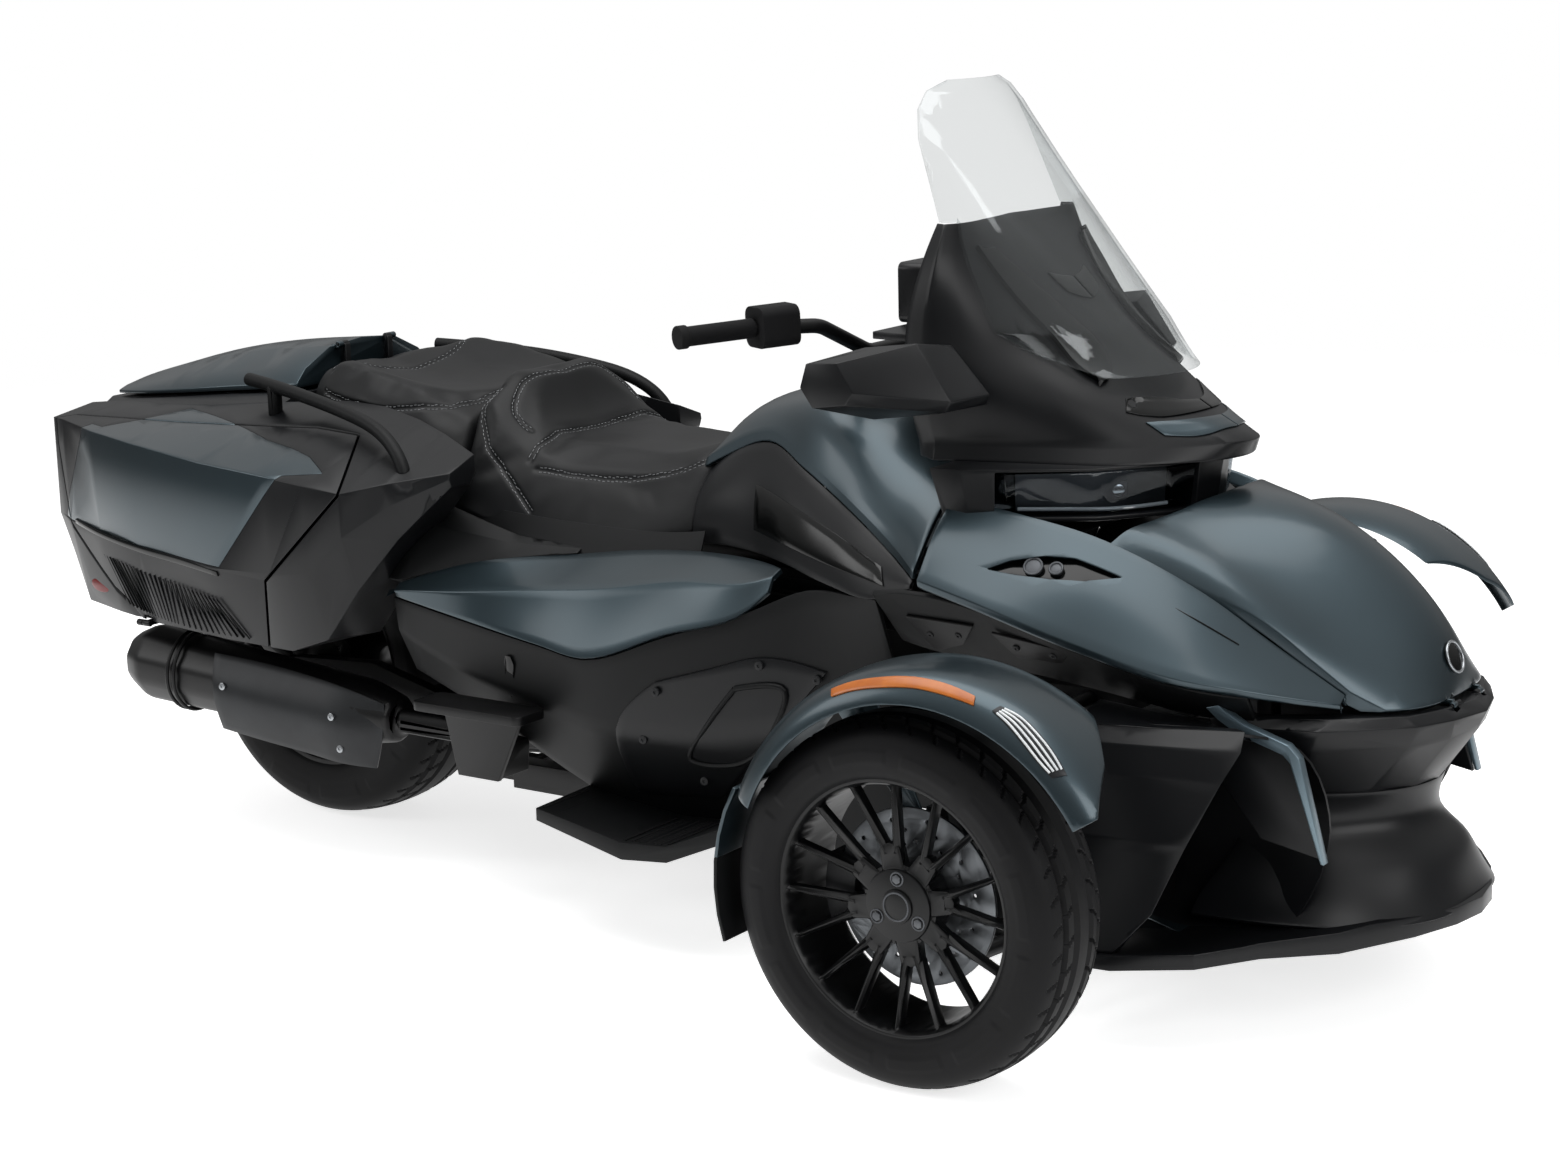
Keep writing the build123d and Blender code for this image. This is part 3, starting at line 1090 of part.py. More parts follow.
with BuildPart() as door_zone:
    door_front(0)
    with BuildSketch(Plane.YZ.offset(-1450)):
        outline(*DOOR_SIDE)
    extrude(amount=1100, mode=Mode.INTERSECT)
with BuildPart() as door_zone_wide:
    door_front(SEAM)
    with BuildSketch(Plane.YZ.offset(-1460)):
        outline(*DOOR_SIDE)
        offset(amount=SEAM, kind=Kind.INTERSECTION)
    extrude(amount=1120, mode=Mode.INTERSECT)
with BuildPart() as saddlebag_door_left:
    add(bag_shell.part)
    add(door_zone.part, mode=Mode.INTERSECT)
    for x in DOOR_HINGE_X:
        block((x - 5, 380, 415), (x + 19, DOOR_HINGE[0] + HINGE_R + 5, 446), Mode.SUBTRACT)
        rod((x - 5.3, *DOOR_HINGE), (x - 19, *DOOR_HINGE), HINGE_R)
        rod((x, *DOOR_HINGE), (x - 25, *DOOR_HINGE), HINGE_PIN_R + HINGE_GAP, Mode.SUBTRACT)
with BuildPart() as saddlebag_door_right:
    add(saddlebag_door_left.part)
    mirror(about=Plane.XZ, mode=Mode.REPLACE)
with BuildPart() as saddlebags:
    add(bag_shell.part)
    add(door_zone_wide.part, mode=Mode.SUBTRACT)
    for x in DOOR_HINGE_X:
        rod((x - 5, *DOOR_HINGE), (x + 14, *DOOR_HINGE), HINGE_R)
        block((x, 372, DOOR_HINGE[1] - 4), (x + 14, DOOR_HINGE[0], DOOR_HINGE[1] + 5))
        rod((x - 22, *DOOR_HINGE), (x, *DOOR_HINGE), HINGE_PIN_R)
    mirror(about=Plane.XZ)

# ---- Seats -----------------------------------------------------------------------------
DRIVER_SEAT_SECTIONS = {
    100: [(0, 809), (100, 806), (140, 796), (186, 700), (194, 662), (0, 662)],
    20: [(0, 792), (120, 794), (172, 778), (232, 672), (236, 655), (0, 655)],
    -120: [(0, 784), (130, 790), (190, 772), (250, 655), (254, 640), (0, 640)],
    -240: [(0, 790), (130, 800), (205, 782), (262, 665), (264, 648), (0, 648)],
    -310: [(0, 842), (120, 850), (205, 822), (268, 690), (270, 655), (0, 655)],
    -350: [(0, 905), (110, 908), (195, 862), (272, 710), (274, 660), (0, 660)],
    -398: [(0, 908), (100, 904), (190, 858), (270, 715), (272, 665), (0, 665)],
}
with BuildPart() as driver_seat:
    for x, half in DRIVER_SEAT_SECTIONS.items():
        with BuildSketch(Plane.YZ.offset(x)):
            mirrored(*half)
    loft()
    for piece in (tank_cover, knee_panels, side_panels, saddlebags):
        add(piece.part, mode=Mode.SUBTRACT)

PASSENGER_SEAT_SECTIONS = {
    -403: [(0, 872), (100, 868), (190, 830), (262, 712), (265, 700), (0, 690)],
    -500: [(0, 862), (120, 866), (212, 884), (260, 790), (264, 735), (0, 700)],
    -620: [(0, 860), (120, 870), (212, 912), (250, 860), (250, 790), (0, 700)],
    -720: [(0, 878), (110, 898), (190, 924), (234, 866), (232, 790), (0, 700)],
    -795: [(0, 905), (100, 912), (158, 898), (190, 862), (190, 800), (0, 700)],
}
with BuildPart() as passenger_seat:
    for x, half in PASSENGER_SEAT_SECTIONS.items():
        with BuildSketch(Plane.YZ.offset(x)):
            mirrored(*half)
    loft(ruled=True)
    add(saddlebags.part, mode=Mode.SUBTRACT)

TAIL_SECTIONS = {
    -815: [(0, 850), (195, 850), (238, 838), (190, TAIL_Z), (0, TAIL_Z)],
    -1000: [(0, 835), (195, 835), (236, 820), (188, TAIL_Z), (0, TAIL_Z)],
    -1260: [(0, 808), (190, 808), (222, 798), (180, 660), (0, 660)],
    -1370: [(0, 800), (140, 800), (185, 775), (150, 690), (0, 690)],
    -1418: [(0, 790), (80, 790), (110, 765), (80, 730), (0, 730)],
}
TRUNK_FRONT_X, TRUNK_REAR_X, TRUNK_HALF, TRUNK_FLOOR_Z = -835, -1305, 168, 667
with BuildPart() as tail_body:
    for x, half in TAIL_SECTIONS.items():
        with BuildSketch(Plane.YZ.offset(x)):
            mirrored(*half)
    loft(ruled=True)
    with BuildSketch(Plane.XY.offset(TAIL_Z)):
        with Locations((-690, 0)):
            Rectangle(260, 360)
    extrude(amount=34)
    for side in (-1, 1):
        # Hinge posts stand ahead of the lid.
        block((LID_HINGE[0] - 2, side * 59 - 7, 830), (LID_HINGE[0] + 8, side * 59 + 7, LID_HINGE[1]))
        rod((LID_HINGE[0], side * 52, LID_HINGE[1]), (LID_HINGE[0], side * 66, LID_HINGE[1]), HINGE_R)
        rod((LID_HINGE[0], side * 66, LID_HINGE[1]), (LID_HINGE[0], side * 80, LID_HINGE[1]), HINGE_PIN_R)
    with BuildSketch(Plane.XY.offset(TRUNK_FLOOR_Z)):
        outline(
            (TRUNK_FRONT_X, TRUNK_HALF),
            (TRUNK_REAR_X, TRUNK_HALF - 20),
            (TRUNK_REAR_X, 20 - TRUNK_HALF),
            (TRUNK_FRONT_X, -TRUNK_HALF),
        )
    extrude(amount=300, mode=Mode.SUBTRACT)
    add(saddlebags.part, mode=Mode.SUBTRACT)
    add(passenger_seat.part, mode=Mode.SUBTRACT)
    add(frame.part, mode=Mode.SUBTRACT)

LID_SECTIONS = {
    -832: [(0, 930), (90, 922), (158, 890), (184, 864), (184, 856), (0, 856)],
    -1000: [(0, 914), (90, 905), (160, 874), (186, 850), (186, 841), (0, 841)],
    -1180: [(0, 882), (90, 874), (158, 848), (182, 830), (182, 823), (0, 823)],
    -1345: [(0, 834), (80, 830), (126, 821), (146, 814), (146, 808), (0, 808)],
}
LID_WALL = 10
with BuildPart() as trunk_lid:
    for x, half in LID_SECTIONS.items():
        with BuildSketch(Plane.YZ.offset(x)):
            mirrored(*half)
    loft()
    ends = list(LID_SECTIONS)
    for x, half in LID_SECTIONS.items():
        inset = LID_WALL if x == ends[-1] else -LID_WALL if x == ends[0] else 0
        with BuildSketch(Plane.YZ.offset(x + inset)):
            rim = [(half[4][0] - LID_WALL, half[4][1] - 20), (0, half[5][1] - 20)]
            mirrored(*draw_in(half[:4], LID_WALL), *rim)
    loft(mode=Mode.SUBTRACT)
    for side in (-1, 1):
        rod((LID_HINGE[0], side * 66.3, LID_HINGE[1]), (LID_HINGE[0], side * 79, LID_HINGE[1]), HINGE_R)
        block(
            (LID_HINGE[0] - 18, side * 72.5 - 5, LID_HINGE[1] - 8),
            (LID_HINGE[0], side * 72.5 + 5, LID_HINGE[1]),
        )
        rod(
            (LID_HINGE[0], side * 60, LID_HINGE[1]),
            (LID_HINGE[0], side * 84, LID_HINGE[1]),
            HINGE_PIN_R + HINGE_GAP,
            Mode.SUBTRACT,
        )

GRAB_LINE = [(-876, 262, 881), (-783, 288, 876), (-675, 318, 867), (-548, 345, 848), (-460, 364, 822)]
GRAB_LINE += [(-415, 377, 788), (-395, 384, 750)]
GRAB_R = 12
with BuildPart() as grab_handles:
    with BuildLine() as handle_line:
        Spline(*GRAB_LINE)
    with BuildSketch(Plane(origin=handle_line.line @ 0, z_dir=handle_line.line % 0)):
        Circle(GRAB_R)
    sweep()
    rod((-788, 288, 820), (-788, 288, 876), GRAB_R + 1)
    mirror(about=Plane.XZ)
    for piece in (saddlebags, tail_body, passenger_seat):
        add(piece.part, mode=Mode.SUBTRACT)

with BuildPart() as tail_side_panels:
    for x, section in {
        -560: [(262, 735), (330, 700), (330, 560), (318, 560), (250, 700)],
        -420: [(278, 700), (330, 668), (384, 574), (372, 566), (264, 680)],
        -240: [(270, 650), (290, 640), (318, 617), (308, 608), (262, 636)],
        -110: [(257, 640), (264, 638), (276, 632), (270, 624), (252, 632)],
    }.items():
        with BuildSketch(Plane.YZ.offset(x)):
            outline(*section)
    loft(ruled=True)
    mirror(about=Plane.XZ)
    for piece in (saddlebags, driver_seat, passenger_seat, side_panels, lower_covers):
        add(piece.part, mode=Mode.SUBTRACT)

# ---- Muffler, rear fender, foot pegs and lamps ---------------------------------------------
MUFFLER_STATIONS = [
    ((-510, -300, 292), 44),
    ((-585, -305, 298), 62),
    ((-900, -322, 326), 72),
    ((-1080, -330, 338), 74),
    ((-1125, -333, 341), 52),
]
with BuildPart() as muffler:
    for (x, y, z), radius in MUFFLER_STATIONS:
        with BuildSketch(Plane.YZ.offset(x)):
            with Locations((y, z)):
                RegularPolygon(radius, 10, rotation=18)
    loft(ruled=True)
    rod((-516, -300, 292), (-330, -215, 262), 24)
    rod((-330, -215, 262), (-150, -158, 262), 24)
    add(engine_block.part, mode=Mode.SUBTRACT)

# The number plate's carrier stands behind the rear fender.
PLATE_X, PLATE_Z = -1255, 470
PLATE_HOLE_SPACING, PLATE_HOLE_R = 146, 3.5
REAR_FENDER_R, REAR_FENDER_T = 330, 6


def rear_wheel_point(radius, angle):
    """(x, z) of a point beside the rear wheel, by its radius and its angle in radians."""
    return (REAR_AXLE_X + radius * cos(angle), REAR_TYRE_R + radius * sin(angle))


with BuildPart() as rear_fender:
    with BuildSketch(Plane.XZ.offset(-125)):
        angles = [radians(60 + 15 * i) for i in range(8)]
        outline(
            *[rear_wheel_point(REAR_FENDER_R + REAR_FENDER_T, a) for a in angles],
            *[rear_wheel_point(REAR_FENDER_R, a) for a in reversed(angles)],
        )
    extrude(amount=250)
    with BuildSketch(Plane.YZ.offset(PLATE_X)):
        with Locations((0, PLATE_Z)):
            RectangleRounded(200, 120, 8)
        with Locations((0, PLATE_Z + 40)):
            with GridLocations(PLATE_HOLE_SPACING, 1, 2, 1):
                Circle(PLATE_HOLE_R, mode=Mode.SUBTRACT)
    extrude(amount=4)
    with BuildSketch(Plane.YZ.offset(PLATE_X + 4)):
        with Locations((0, PLATE_Z - 10)):
            Rectangle(80, 20)
    extrude(amount=70)
    add(frame.part, mode=Mode.SUBTRACT)

with BuildPart() as passenger_footboards:
    with BuildSketch(Plane.XY.offset(366)):
        with Locations((-225, 418)):
            RectangleRounded(240, 80, 16)
    extrude(amount=16)
    with BuildSketch(Plane.XZ.offset(-392)):
        outline((-330, 366), (-150, 366), (-210, 240), (-300, 240))
    extrude(amount=10)
    with BuildSketch(Plane.XZ.offset(-392)):
        outline((-300, 300), (-210, 300), (-215, 240), (-300, 240))
    extrude(amount=90)
    mirror(about=Plane.XZ)
    for piece in (lower_covers, muffler):
        add(piece.part, mode=Mode.SUBTRACT)

with BuildPart() as tail_lights:
    with BuildSketch(Plane.XZ.offset(-308)):
        outline((-1345, 760), (-1345, 640), (-1351, 640), (-1357, 760))
    extrude(amount=90)
    mirror(about=Plane.XZ)

with BuildPart() as drive_belt:
    for thickness, mode in ((BELT_T, Mode.ADD), (0, Mode.SUBTRACT)):
        with BuildSketch(Plane.XZ.offset(-PULLEY_FROM_Y - BELT_W)):
            with Locations((REAR_AXLE_X, REAR_TYRE_R)):
                Circle(PULLEY_R + BELT_GAP + thickness)
            with Locations(BELT_FRONT):
                Circle(BELT_FRONT_R + BELT_GAP + thickness)
            make_hull()
        extrude(amount=BELT_W, mode=mode)

# ---- Left-hand copies of the right-hand wheel pieces ------------------------------------
with BuildPart() as front_tyre_left:
    add(front_tyre_right.part)
    mirror(about=Plane.XZ, mode=Mode.REPLACE)
with BuildPart() as front_rim_left:
    add(front_rim_right.part)
    mirror(about=Plane.XZ, mode=Mode.REPLACE)
with BuildPart() as front_disc_left:
    add(front_disc_right.part)
    mirror(about=Plane.XZ, mode=Mode.REPLACE)
with BuildPart() as knuckle_left:
    add(knuckle_right.part)
    mirror(about=Plane.XZ, mode=Mode.REPLACE)
with BuildPart() as fender_left:
    add(fender_right.part)
    mirror(about=Plane.XZ, mode=Mode.REPLACE)
# ---- Files ----------------------------------------------------------------------------
PIECES = {
    "frame": frame,
    "engine_block": engine_block,
    "drive_belt": drive_belt,
    "front_suspension": front_suspension,
    "rear_suspension": rear_suspension,
    "steering_rack": steering_rack,
    "handlebar": handlebar,
    "handlebar_controls": handlebar_controls,
    "knuckle_right": knuckle_right,
    "knuckle_left": knuckle_left,
    "front_tyre_right": front_tyre_right,
    "front_tyre_left": front_tyre_left,
    "front_rim_right": front_rim_right,
    "front_rim_left": front_rim_left,
    "front_disc_right": front_disc_right,
    "front_disc_left": front_disc_left,
    "fender_right": fender_right,
    "fender_left": fender_left,
    "rear_tyre": rear_tyre,
    "rear_rim": rear_rim,
    "rear_fender": rear_fender,
    "muffler": muffler,
    "hood": hood,
    "front_panels": front_panels,
    "front_liners": front_liners,
    "nose_beak": nose_beak,
    "front_fascia": front_fascia,
    "front_splitter": front_splitter,
    "intake_pods": intake_pods,
    "air_blades": air_blades,
    "radiators": radiators,
    "storage_tub": storage_tub,
    "headlight_housing": headlight_housing,
    "headlight_lenses": headlight_lenses,
    "upper_fairing": upper_fairing,
    "windshield": windshield,
    "instrument_panel": instrument_panel,
    "mirrors": mirrors,
    "tank_cover": tank_cover,
    "knee_panels": knee_panels,
    "side_panels": side_panels,
    "lower_covers": lower_covers,
    "footboards": footboards,
    "passenger_footboards": passenger_footboards,
    "driver_seat": driver_seat,
    "passenger_seat": passenger_seat,
    "saddlebags": saddlebags,
    "saddlebag_door_right": saddlebag_door_right,
    "saddlebag_door_left": saddlebag_door_left,
    "tail_body": tail_body,
    "trunk_lid": trunk_lid,
    "grab_handles": grab_handles,
    "tail_side_panels": tail_side_panels,
    "tail_lights": tail_lights,
}
for name, piece in PIECES.items():
    piece.part.label = name
    export_step(piece.part, f"parts/{name}.step")
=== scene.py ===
"""Touring reverse trike: the visible model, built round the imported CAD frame."""

import json
import math

import bpy
from mathutils import Matrix, Vector
from mathutils.bvhtree import BVHTree
from mathutils.kdtree import KDTree

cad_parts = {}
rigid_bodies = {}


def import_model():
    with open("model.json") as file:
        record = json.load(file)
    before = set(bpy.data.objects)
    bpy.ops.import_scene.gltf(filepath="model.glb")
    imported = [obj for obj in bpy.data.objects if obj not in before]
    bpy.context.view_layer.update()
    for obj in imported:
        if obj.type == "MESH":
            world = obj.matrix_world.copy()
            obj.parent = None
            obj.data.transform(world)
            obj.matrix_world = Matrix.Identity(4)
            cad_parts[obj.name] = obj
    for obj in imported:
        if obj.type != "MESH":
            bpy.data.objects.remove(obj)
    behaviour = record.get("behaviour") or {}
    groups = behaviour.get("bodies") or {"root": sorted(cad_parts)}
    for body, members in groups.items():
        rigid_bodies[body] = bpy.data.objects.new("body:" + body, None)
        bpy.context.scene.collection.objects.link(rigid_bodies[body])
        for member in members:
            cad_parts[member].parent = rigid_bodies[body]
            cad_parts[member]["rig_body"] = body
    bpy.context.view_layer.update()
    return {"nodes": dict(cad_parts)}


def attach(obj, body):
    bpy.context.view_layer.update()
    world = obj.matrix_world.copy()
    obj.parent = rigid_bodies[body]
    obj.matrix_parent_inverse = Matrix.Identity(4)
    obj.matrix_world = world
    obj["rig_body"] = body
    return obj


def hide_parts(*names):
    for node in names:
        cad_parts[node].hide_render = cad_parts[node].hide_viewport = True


bl_info = {
    "name": "Reverse Trike",
    "version": (1, 0, 0),
    "blender": (4, 5, 0),
    "location": "View3D > Sidebar > Reverse Trike",
    "description": "Adds the visible pieces of a touring reverse trike to its CAD frame",
    "category": "Add Mesh",
}

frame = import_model()
NODES = frame["nodes"]
BODY_OF = {node: obj["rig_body"] for node, obj in NODES.items()}
MM = 0.001
# The sign of y on each side of the vehicle.
SIDES = ((-1, "right"), (1, "left"))
# Every finish by its short name, filled in by main().
MATERIALS = {}


# ---- Colours and materials ----


def linear(colour):
    """Linear RGBA of an sRGB hex string such as "#3E4D55" or of an sRGB triple."""
    if isinstance(colour, str):
        colour = [int(colour[i : i + 2], 16) / 255 for i in (1, 3, 5)]
    return [c / 12.92 if c <= 0.04045 else ((c + 0.055) / 1.055) ** 2.4 for c in colour[:3]] + [1.0]


def srgb(text):
    """An sRGB triple from 0 to 1 of a hex string, for a colour property's default."""
    return [int(text[i : i + 2], 16) / 255 for i in (1, 3, 5)]


def node(tree, kind, inputs=None, **settings):
    """Adds a shader node, with settings on it and values or (node, output) links on its inputs."""
    added = tree.nodes.new("ShaderNode" + kind)
    for key, value in settings.items():
        setattr(added, key, value)
    for key, value in (inputs or {}).items():
        if isinstance(value, tuple) and isinstance(value[0], bpy.types.Node):
            tree.links.new(value[0].outputs[value[1]], added.inputs[key])
        else:
            added.inputs[key].default_value = value
    return added


# How strongly a grain's bump shades it, and where a slow change of colour starts and ends on its noise.
GRAIN_STRENGTH, PATCH_FROM, PATCH_TO = 0.6, 0.35, 0.65
# How dark the painted panels' slow patches are, as a share of the paint.
PAINT_PATCHES = 0.93
# Clear sheets: how smooth they mirror, how soon the mirror grows towards a low angle, and its start.
CLEAR_ROUGHNESS, CLEAR_BLEND, CLEAR_FROM, CLEAR_SHARE = 0.04, 0.25, 0.3, 0.35
# The wave scale that draws one grinding ring every 1.7 mm, and the depth of a ring in metres.
GRINDING_RINGS, GRINDING_DEPTH = 180, 0.00001


def new_material(name):
    """An empty material with its output, and Object coordinates: (material, tree, place, output)."""
    made = bpy.data.materials.new(name)
    made.use_nodes = True
    tree = made.node_tree
    tree.nodes.clear()
    place = node(tree, "TexCoord")
    return made, tree, (place, "Object"), node(tree, "OutputMaterial")


def grain(tree, place, size_mm, depth_mm, kind="noise"):
    """A bump of a given grain size and depth."""
    where = {"Vector": place, "Scale": 1 / (size_mm * MM)}
    if kind == "noise":
        height = (node(tree, "TexNoise", {**where, "Detail": 3.0}), "Fac")
    else:
        height = (node(tree, "TexVoronoi", where, feature="SMOOTH_F1"), "Distance")
    return node(tree, "Bump", {"Height": height, "Distance": depth_mm * MM,
                               "Strength": GRAIN_STRENGTH})


def shade_range(tree, place, size_mm, dark, light):
    """A slow change between two colours over a size, as uneven finish and dust give."""
    noise = node(tree, "TexNoise", {"Vector": place, "Scale": 1 / (size_mm * MM), "Detail": 4.0})
    ramp = node(tree, "ValToRGB", {"Fac": (noise, "Fac")})
    ends = ((PATCH_FROM, dark), (PATCH_TO, light))
    for element, (position, colour) in zip(ramp.color_ramp.elements, ends):
        element.position, element.color = position, linear(colour)
    return (ramp, "Color")


def solid(name, dark, light, roughness, grain_mm, depth_mm, patch_mm, kind="noise", **sockets):
    """A material with a slowly changing colour, a fine surface grain and fixed surface values."""
    made, tree, place, out = new_material(name)
    inputs = {"Base Color": shade_range(tree, place, patch_mm, dark, light), "Roughness": roughness}
    if grain_mm:
        inputs["Normal"] = (grain(tree, place, grain_mm, depth_mm, kind), "Normal")
    inputs.update({key.replace("_", " "): value for key, value in sockets.items()})
    shader = node(tree, "BsdfPrincipled", inputs)
    tree.links.new(shader.outputs["BSDF"], out.inputs["Surface"])
    return made


def clear(name, tint, shine, edge):
    """A thin clear sheet: it tints what is behind it and mirrors the room, most of all at a low angle."""
    made, tree, place, out = new_material(name)
    through = node(tree, "BsdfTransparent", {"Color": shade_range(tree, place, 150, tint, tint)})
    mirror = node(tree, "BsdfGlossy", {"Color": linear("#E9EDEF"), "Roughness": CLEAR_ROUGHNESS})
    facing = node(tree, "LayerWeight", {"Blend": CLEAR_BLEND})
    share = node(tree, "MapRange", {"Value": (facing, "Facing"), "From Min": CLEAR_FROM,
                                    "To Min": shine * CLEAR_SHARE, "To Max": edge})
    mixed = node(tree, "MixShader", {0: (share, "Result"), 1: (through, "BSDF"), 2: (mirror, "BSDF")})
    tree.links.new(mixed.outputs["Shader"], out.inputs["Surface"])
    return made


def make_materials(colours):
    """Every finish on the vehicle, by a short name."""
    paint = colours.paint
    darker = [c * PAINT_PATCHES for c in paint]
    return {
        # Metallic base coat under a satin clear coat: soft wide highlights, no mirror image.
        "paint": solid("Satin_metallic_lacquer", darker, paint, 0.34, 0.5, 0.006, 300,
                       Metallic=0.8, Coat_Weight=0.4, Coat_Roughness=0.16),
        # A paler base coat on the slim winglets at the nose.
        "blade": solid("Satin_silver_blue_lacquer", "#5E6F79", "#66777F", 0.34, 0.5, 0.006, 200,
                       Metallic=0.7, Coat_Weight=0.3, Coat_Roughness=0.3),
        # Moulded polypropylene with a fine spark-eroded grain: dull, slightly grey where light grazes it.
        "abs": solid("Grained_polypropylene", "#08090A", "#0B0C0D", 0.5, 1.1, 0.05, 160,
                     Specular_IOR_Level=0.17),
        # The same family with a finer polish, as on the nose and the housings.
        "satin_abs": solid("Satin_moulded_ABS", "#0B0C0E", "#0E0F11", 0.36, 0.9, 0.02, 220,
                           Specular_IOR_Level=0.24),
        # Black plastic from a polished mould: a small clear highlight on a deep black.
        "gloss_abs": solid("Polished_black_ABS", "#050606", "#070808", 0.14, 0.0, 0.0, 200,
                           Specular_IOR_Level=0.3),
        # Powder coat baked on cast spokes: black, with a soft edge light.
        "wheel": solid("Satin_black_powder_coat", "#050506", "#070809", 0.34, 0.8, 0.012, 90,
                       Specular_IOR_Level=0.25),
        # Powder coat on tube and plate, with a faint orange peel.
        "steel_black": solid("Black_powder_coated_steel", "#070708", "#0B0B0C", 0.42, 1.0, 0.02, 90,
                             Specular_IOR_Level=0.25),
        # Cast metal as it leaves the sand: pale grey, matt and slightly rough.
        "alloy": solid("Sand_cast_aluminium", "#4A4C4F", "#585A5D", 0.5, 1.4, 0.06, 60, Metallic=0.9),
        # Castings under a dark engine paint, which dulls their grain.
        "alloy_dark": solid("Painted_cast_aluminium", "#101113", "#161719", 0.55, 1.4, 0.06, 60,
                            Specular_IOR_Level=0.3),
        # Machined metal with a pale hard skin: even, dry sheen.
        "caliper": solid("Hard_anodised_aluminium", "#83878B", "#93979A", 0.38, 0.8, 0.02, 40,
                         Metallic=0.6),
        # Plated screws and rings: small bright points.
        "zinc": solid("Zinc_plated_steel", "#8E9194", "#9C9FA2", 0.32, 0.6, 0.01, 20, Metallic=1.0),
        "disc": brake_steel(),
        # Rubber full of carbon black: near black, with a broad weak sheen.
        "tyre": solid("Carbon_black_tyre_rubber", "#050506", "#08080A", 0.58, 0.9, 0.03, 70,
                      Specular_IOR_Level=0.18),
        # Moulded rubber for grips and belt: the dullest black on the vehicle.
        "rubber": solid("Moulded_EPDM_rubber", "#08080A", "#0C0C0D", 0.78, 1.0, 0.05, 70,
                        Specular_IOR_Level=0.2),
        # Expanded vinyl with a leather-like grain of cells about 2.4 mm across.
        "vinyl": solid("Leather_grain_vinyl", "#08090A", "#0B0C0E", 0.46, 2.4, 0.1, 90, kind="cells",
                       Specular_IOR_Level=0.22),
        # Pale thread that the eye reads as a thin broken line.
        "thread": solid("Bonded_polyester_thread", "#7C7E80", "#8A8C8E", 0.6, 0.6, 0.05, 30),
        # Heat-proof coat on rolled steel: satin black with long highlights.
        "muffler": solid("High_temperature_satin_black", "#060607", "#0A0A0B", 0.38, 0.8, 0.02, 90,
                         Specular_IOR_Level=0.3),
        # Pressed aluminised sheet that has gone dark: a metal sheen without a mirror.
        "shield": solid("Aluminised_heat_shield", "#1C1D1F", "#232527", 0.42, 0.9, 0.03, 70,
                        Metallic=0.5),
        # Clear sheet: nearly white room behind it, brighter at its edges.
        "screen": clear("Screen_polycarbonate", "#F1F2F2", 0.1, 0.4),
        # Smoked lamp glass: what is behind it goes grey.
        "smoke": clear("Smoked_polycarbonate", "#B4B9BD", 0.06, 0.3),
        # Coloured through, with prisms behind: even orange.
        "amber": solid("Amber_acrylic_lens", "#A8560A", "#B5620C", 0.3, 2.0, 0.03, 30),
        # Coloured through and unlit: deep red.
        "red": solid("Red_acrylic_lens", "#6A0808", "#7C0C0C", 0.3, 2.0, 0.03, 30,
                     Specular_IOR_Level=0.3),
        # Plated bowl and lens rims: bright, with a mirror image.
        "reflector": solid("Vacuum_metallised_reflector", "#B9BDC0", "#CDD1D3", 0.14, 0.0, 0.0, 30,
                           Metallic=1.0),
        # Milky light guide, unlit: even white.
        "lamp_white": solid("Light_guide_acrylic", "#D9DDDF", "#E6E9EA", 0.3, 0.0, 0.0, 20,
                            Coat_Weight=0.5),
    }


def brake_steel():
    """Ground cast iron: fine rings round the axle left by the grinding stone."""
    made, tree, place, out = new_material("Ground_brake_iron")
    x, z = FRONT_AXLE
    shifted = node(tree, "Mapping", {"Vector": place, "Location": (-x * MM, 0, -z * MM)})
    rings = node(tree, "TexWave", {"Vector": (shifted, "Vector"), "Scale": GRINDING_RINGS,
                                   "Distortion": 2.0}, wave_type="RINGS", rings_direction="Y")
    bump = node(tree, "Bump", {"Height": (rings, "Fac"), "Distance": GRINDING_DEPTH, "Strength": 0.3})
    shader = node(tree, "BsdfPrincipled", {
        "Base Color": shade_range(tree, place, 40, "#66696C", "#707376"), "Metallic": 1.0,
        "Roughness": 0.45, "Normal": (bump, "Normal")})
    tree.links.new(shader.outputs["BSDF"], out.inputs["Surface"])
    return made


# ---- Modelling helpers ----

# Corners closer than this, in millimetres, are one corner.
WELD_GAP = 0.02
# A flatness in degrees that leaves every face as it is.
KEEP_FACES = 0.01
# The rounded edge of a skin in millimetres, and the angle in degrees from which its shading breaks.
SKIN_EDGE, SKIN_SHADE = 1.5, 34
# The angles from which an edge is rounded: on a walled sheet, and on a plate or bar.
SHEET_ANGLE, PLATE_ANGLE = 40, 30
# How far back from its place a line sets out to meet a piece, in metres.
LINE_START = 0.3


def deselect():
    """Leaves edit mode and deselects everything."""
    if bpy.context.object and bpy.context.object.mode != "OBJECT":
        bpy.ops.object.mode_set(mode="OBJECT")
    bpy.ops.object.select_all(action="DESELECT")


def take(obj):
    """Makes an object the only selected and active one."""
    deselect()
    obj.select_set(True)
    bpy.context.view_layer.objects.active = obj
    return obj


def modify(obj, kind, **settings):
    """Adds a modifier with settings and applies it."""
    take(obj)
    modifier = obj.modifiers.new(kind.title(), kind)
    for key, value in settings.items():
        setattr(modifier, key, value)
    bpy.ops.object.modifier_apply(modifier=modifier.name)
    return obj


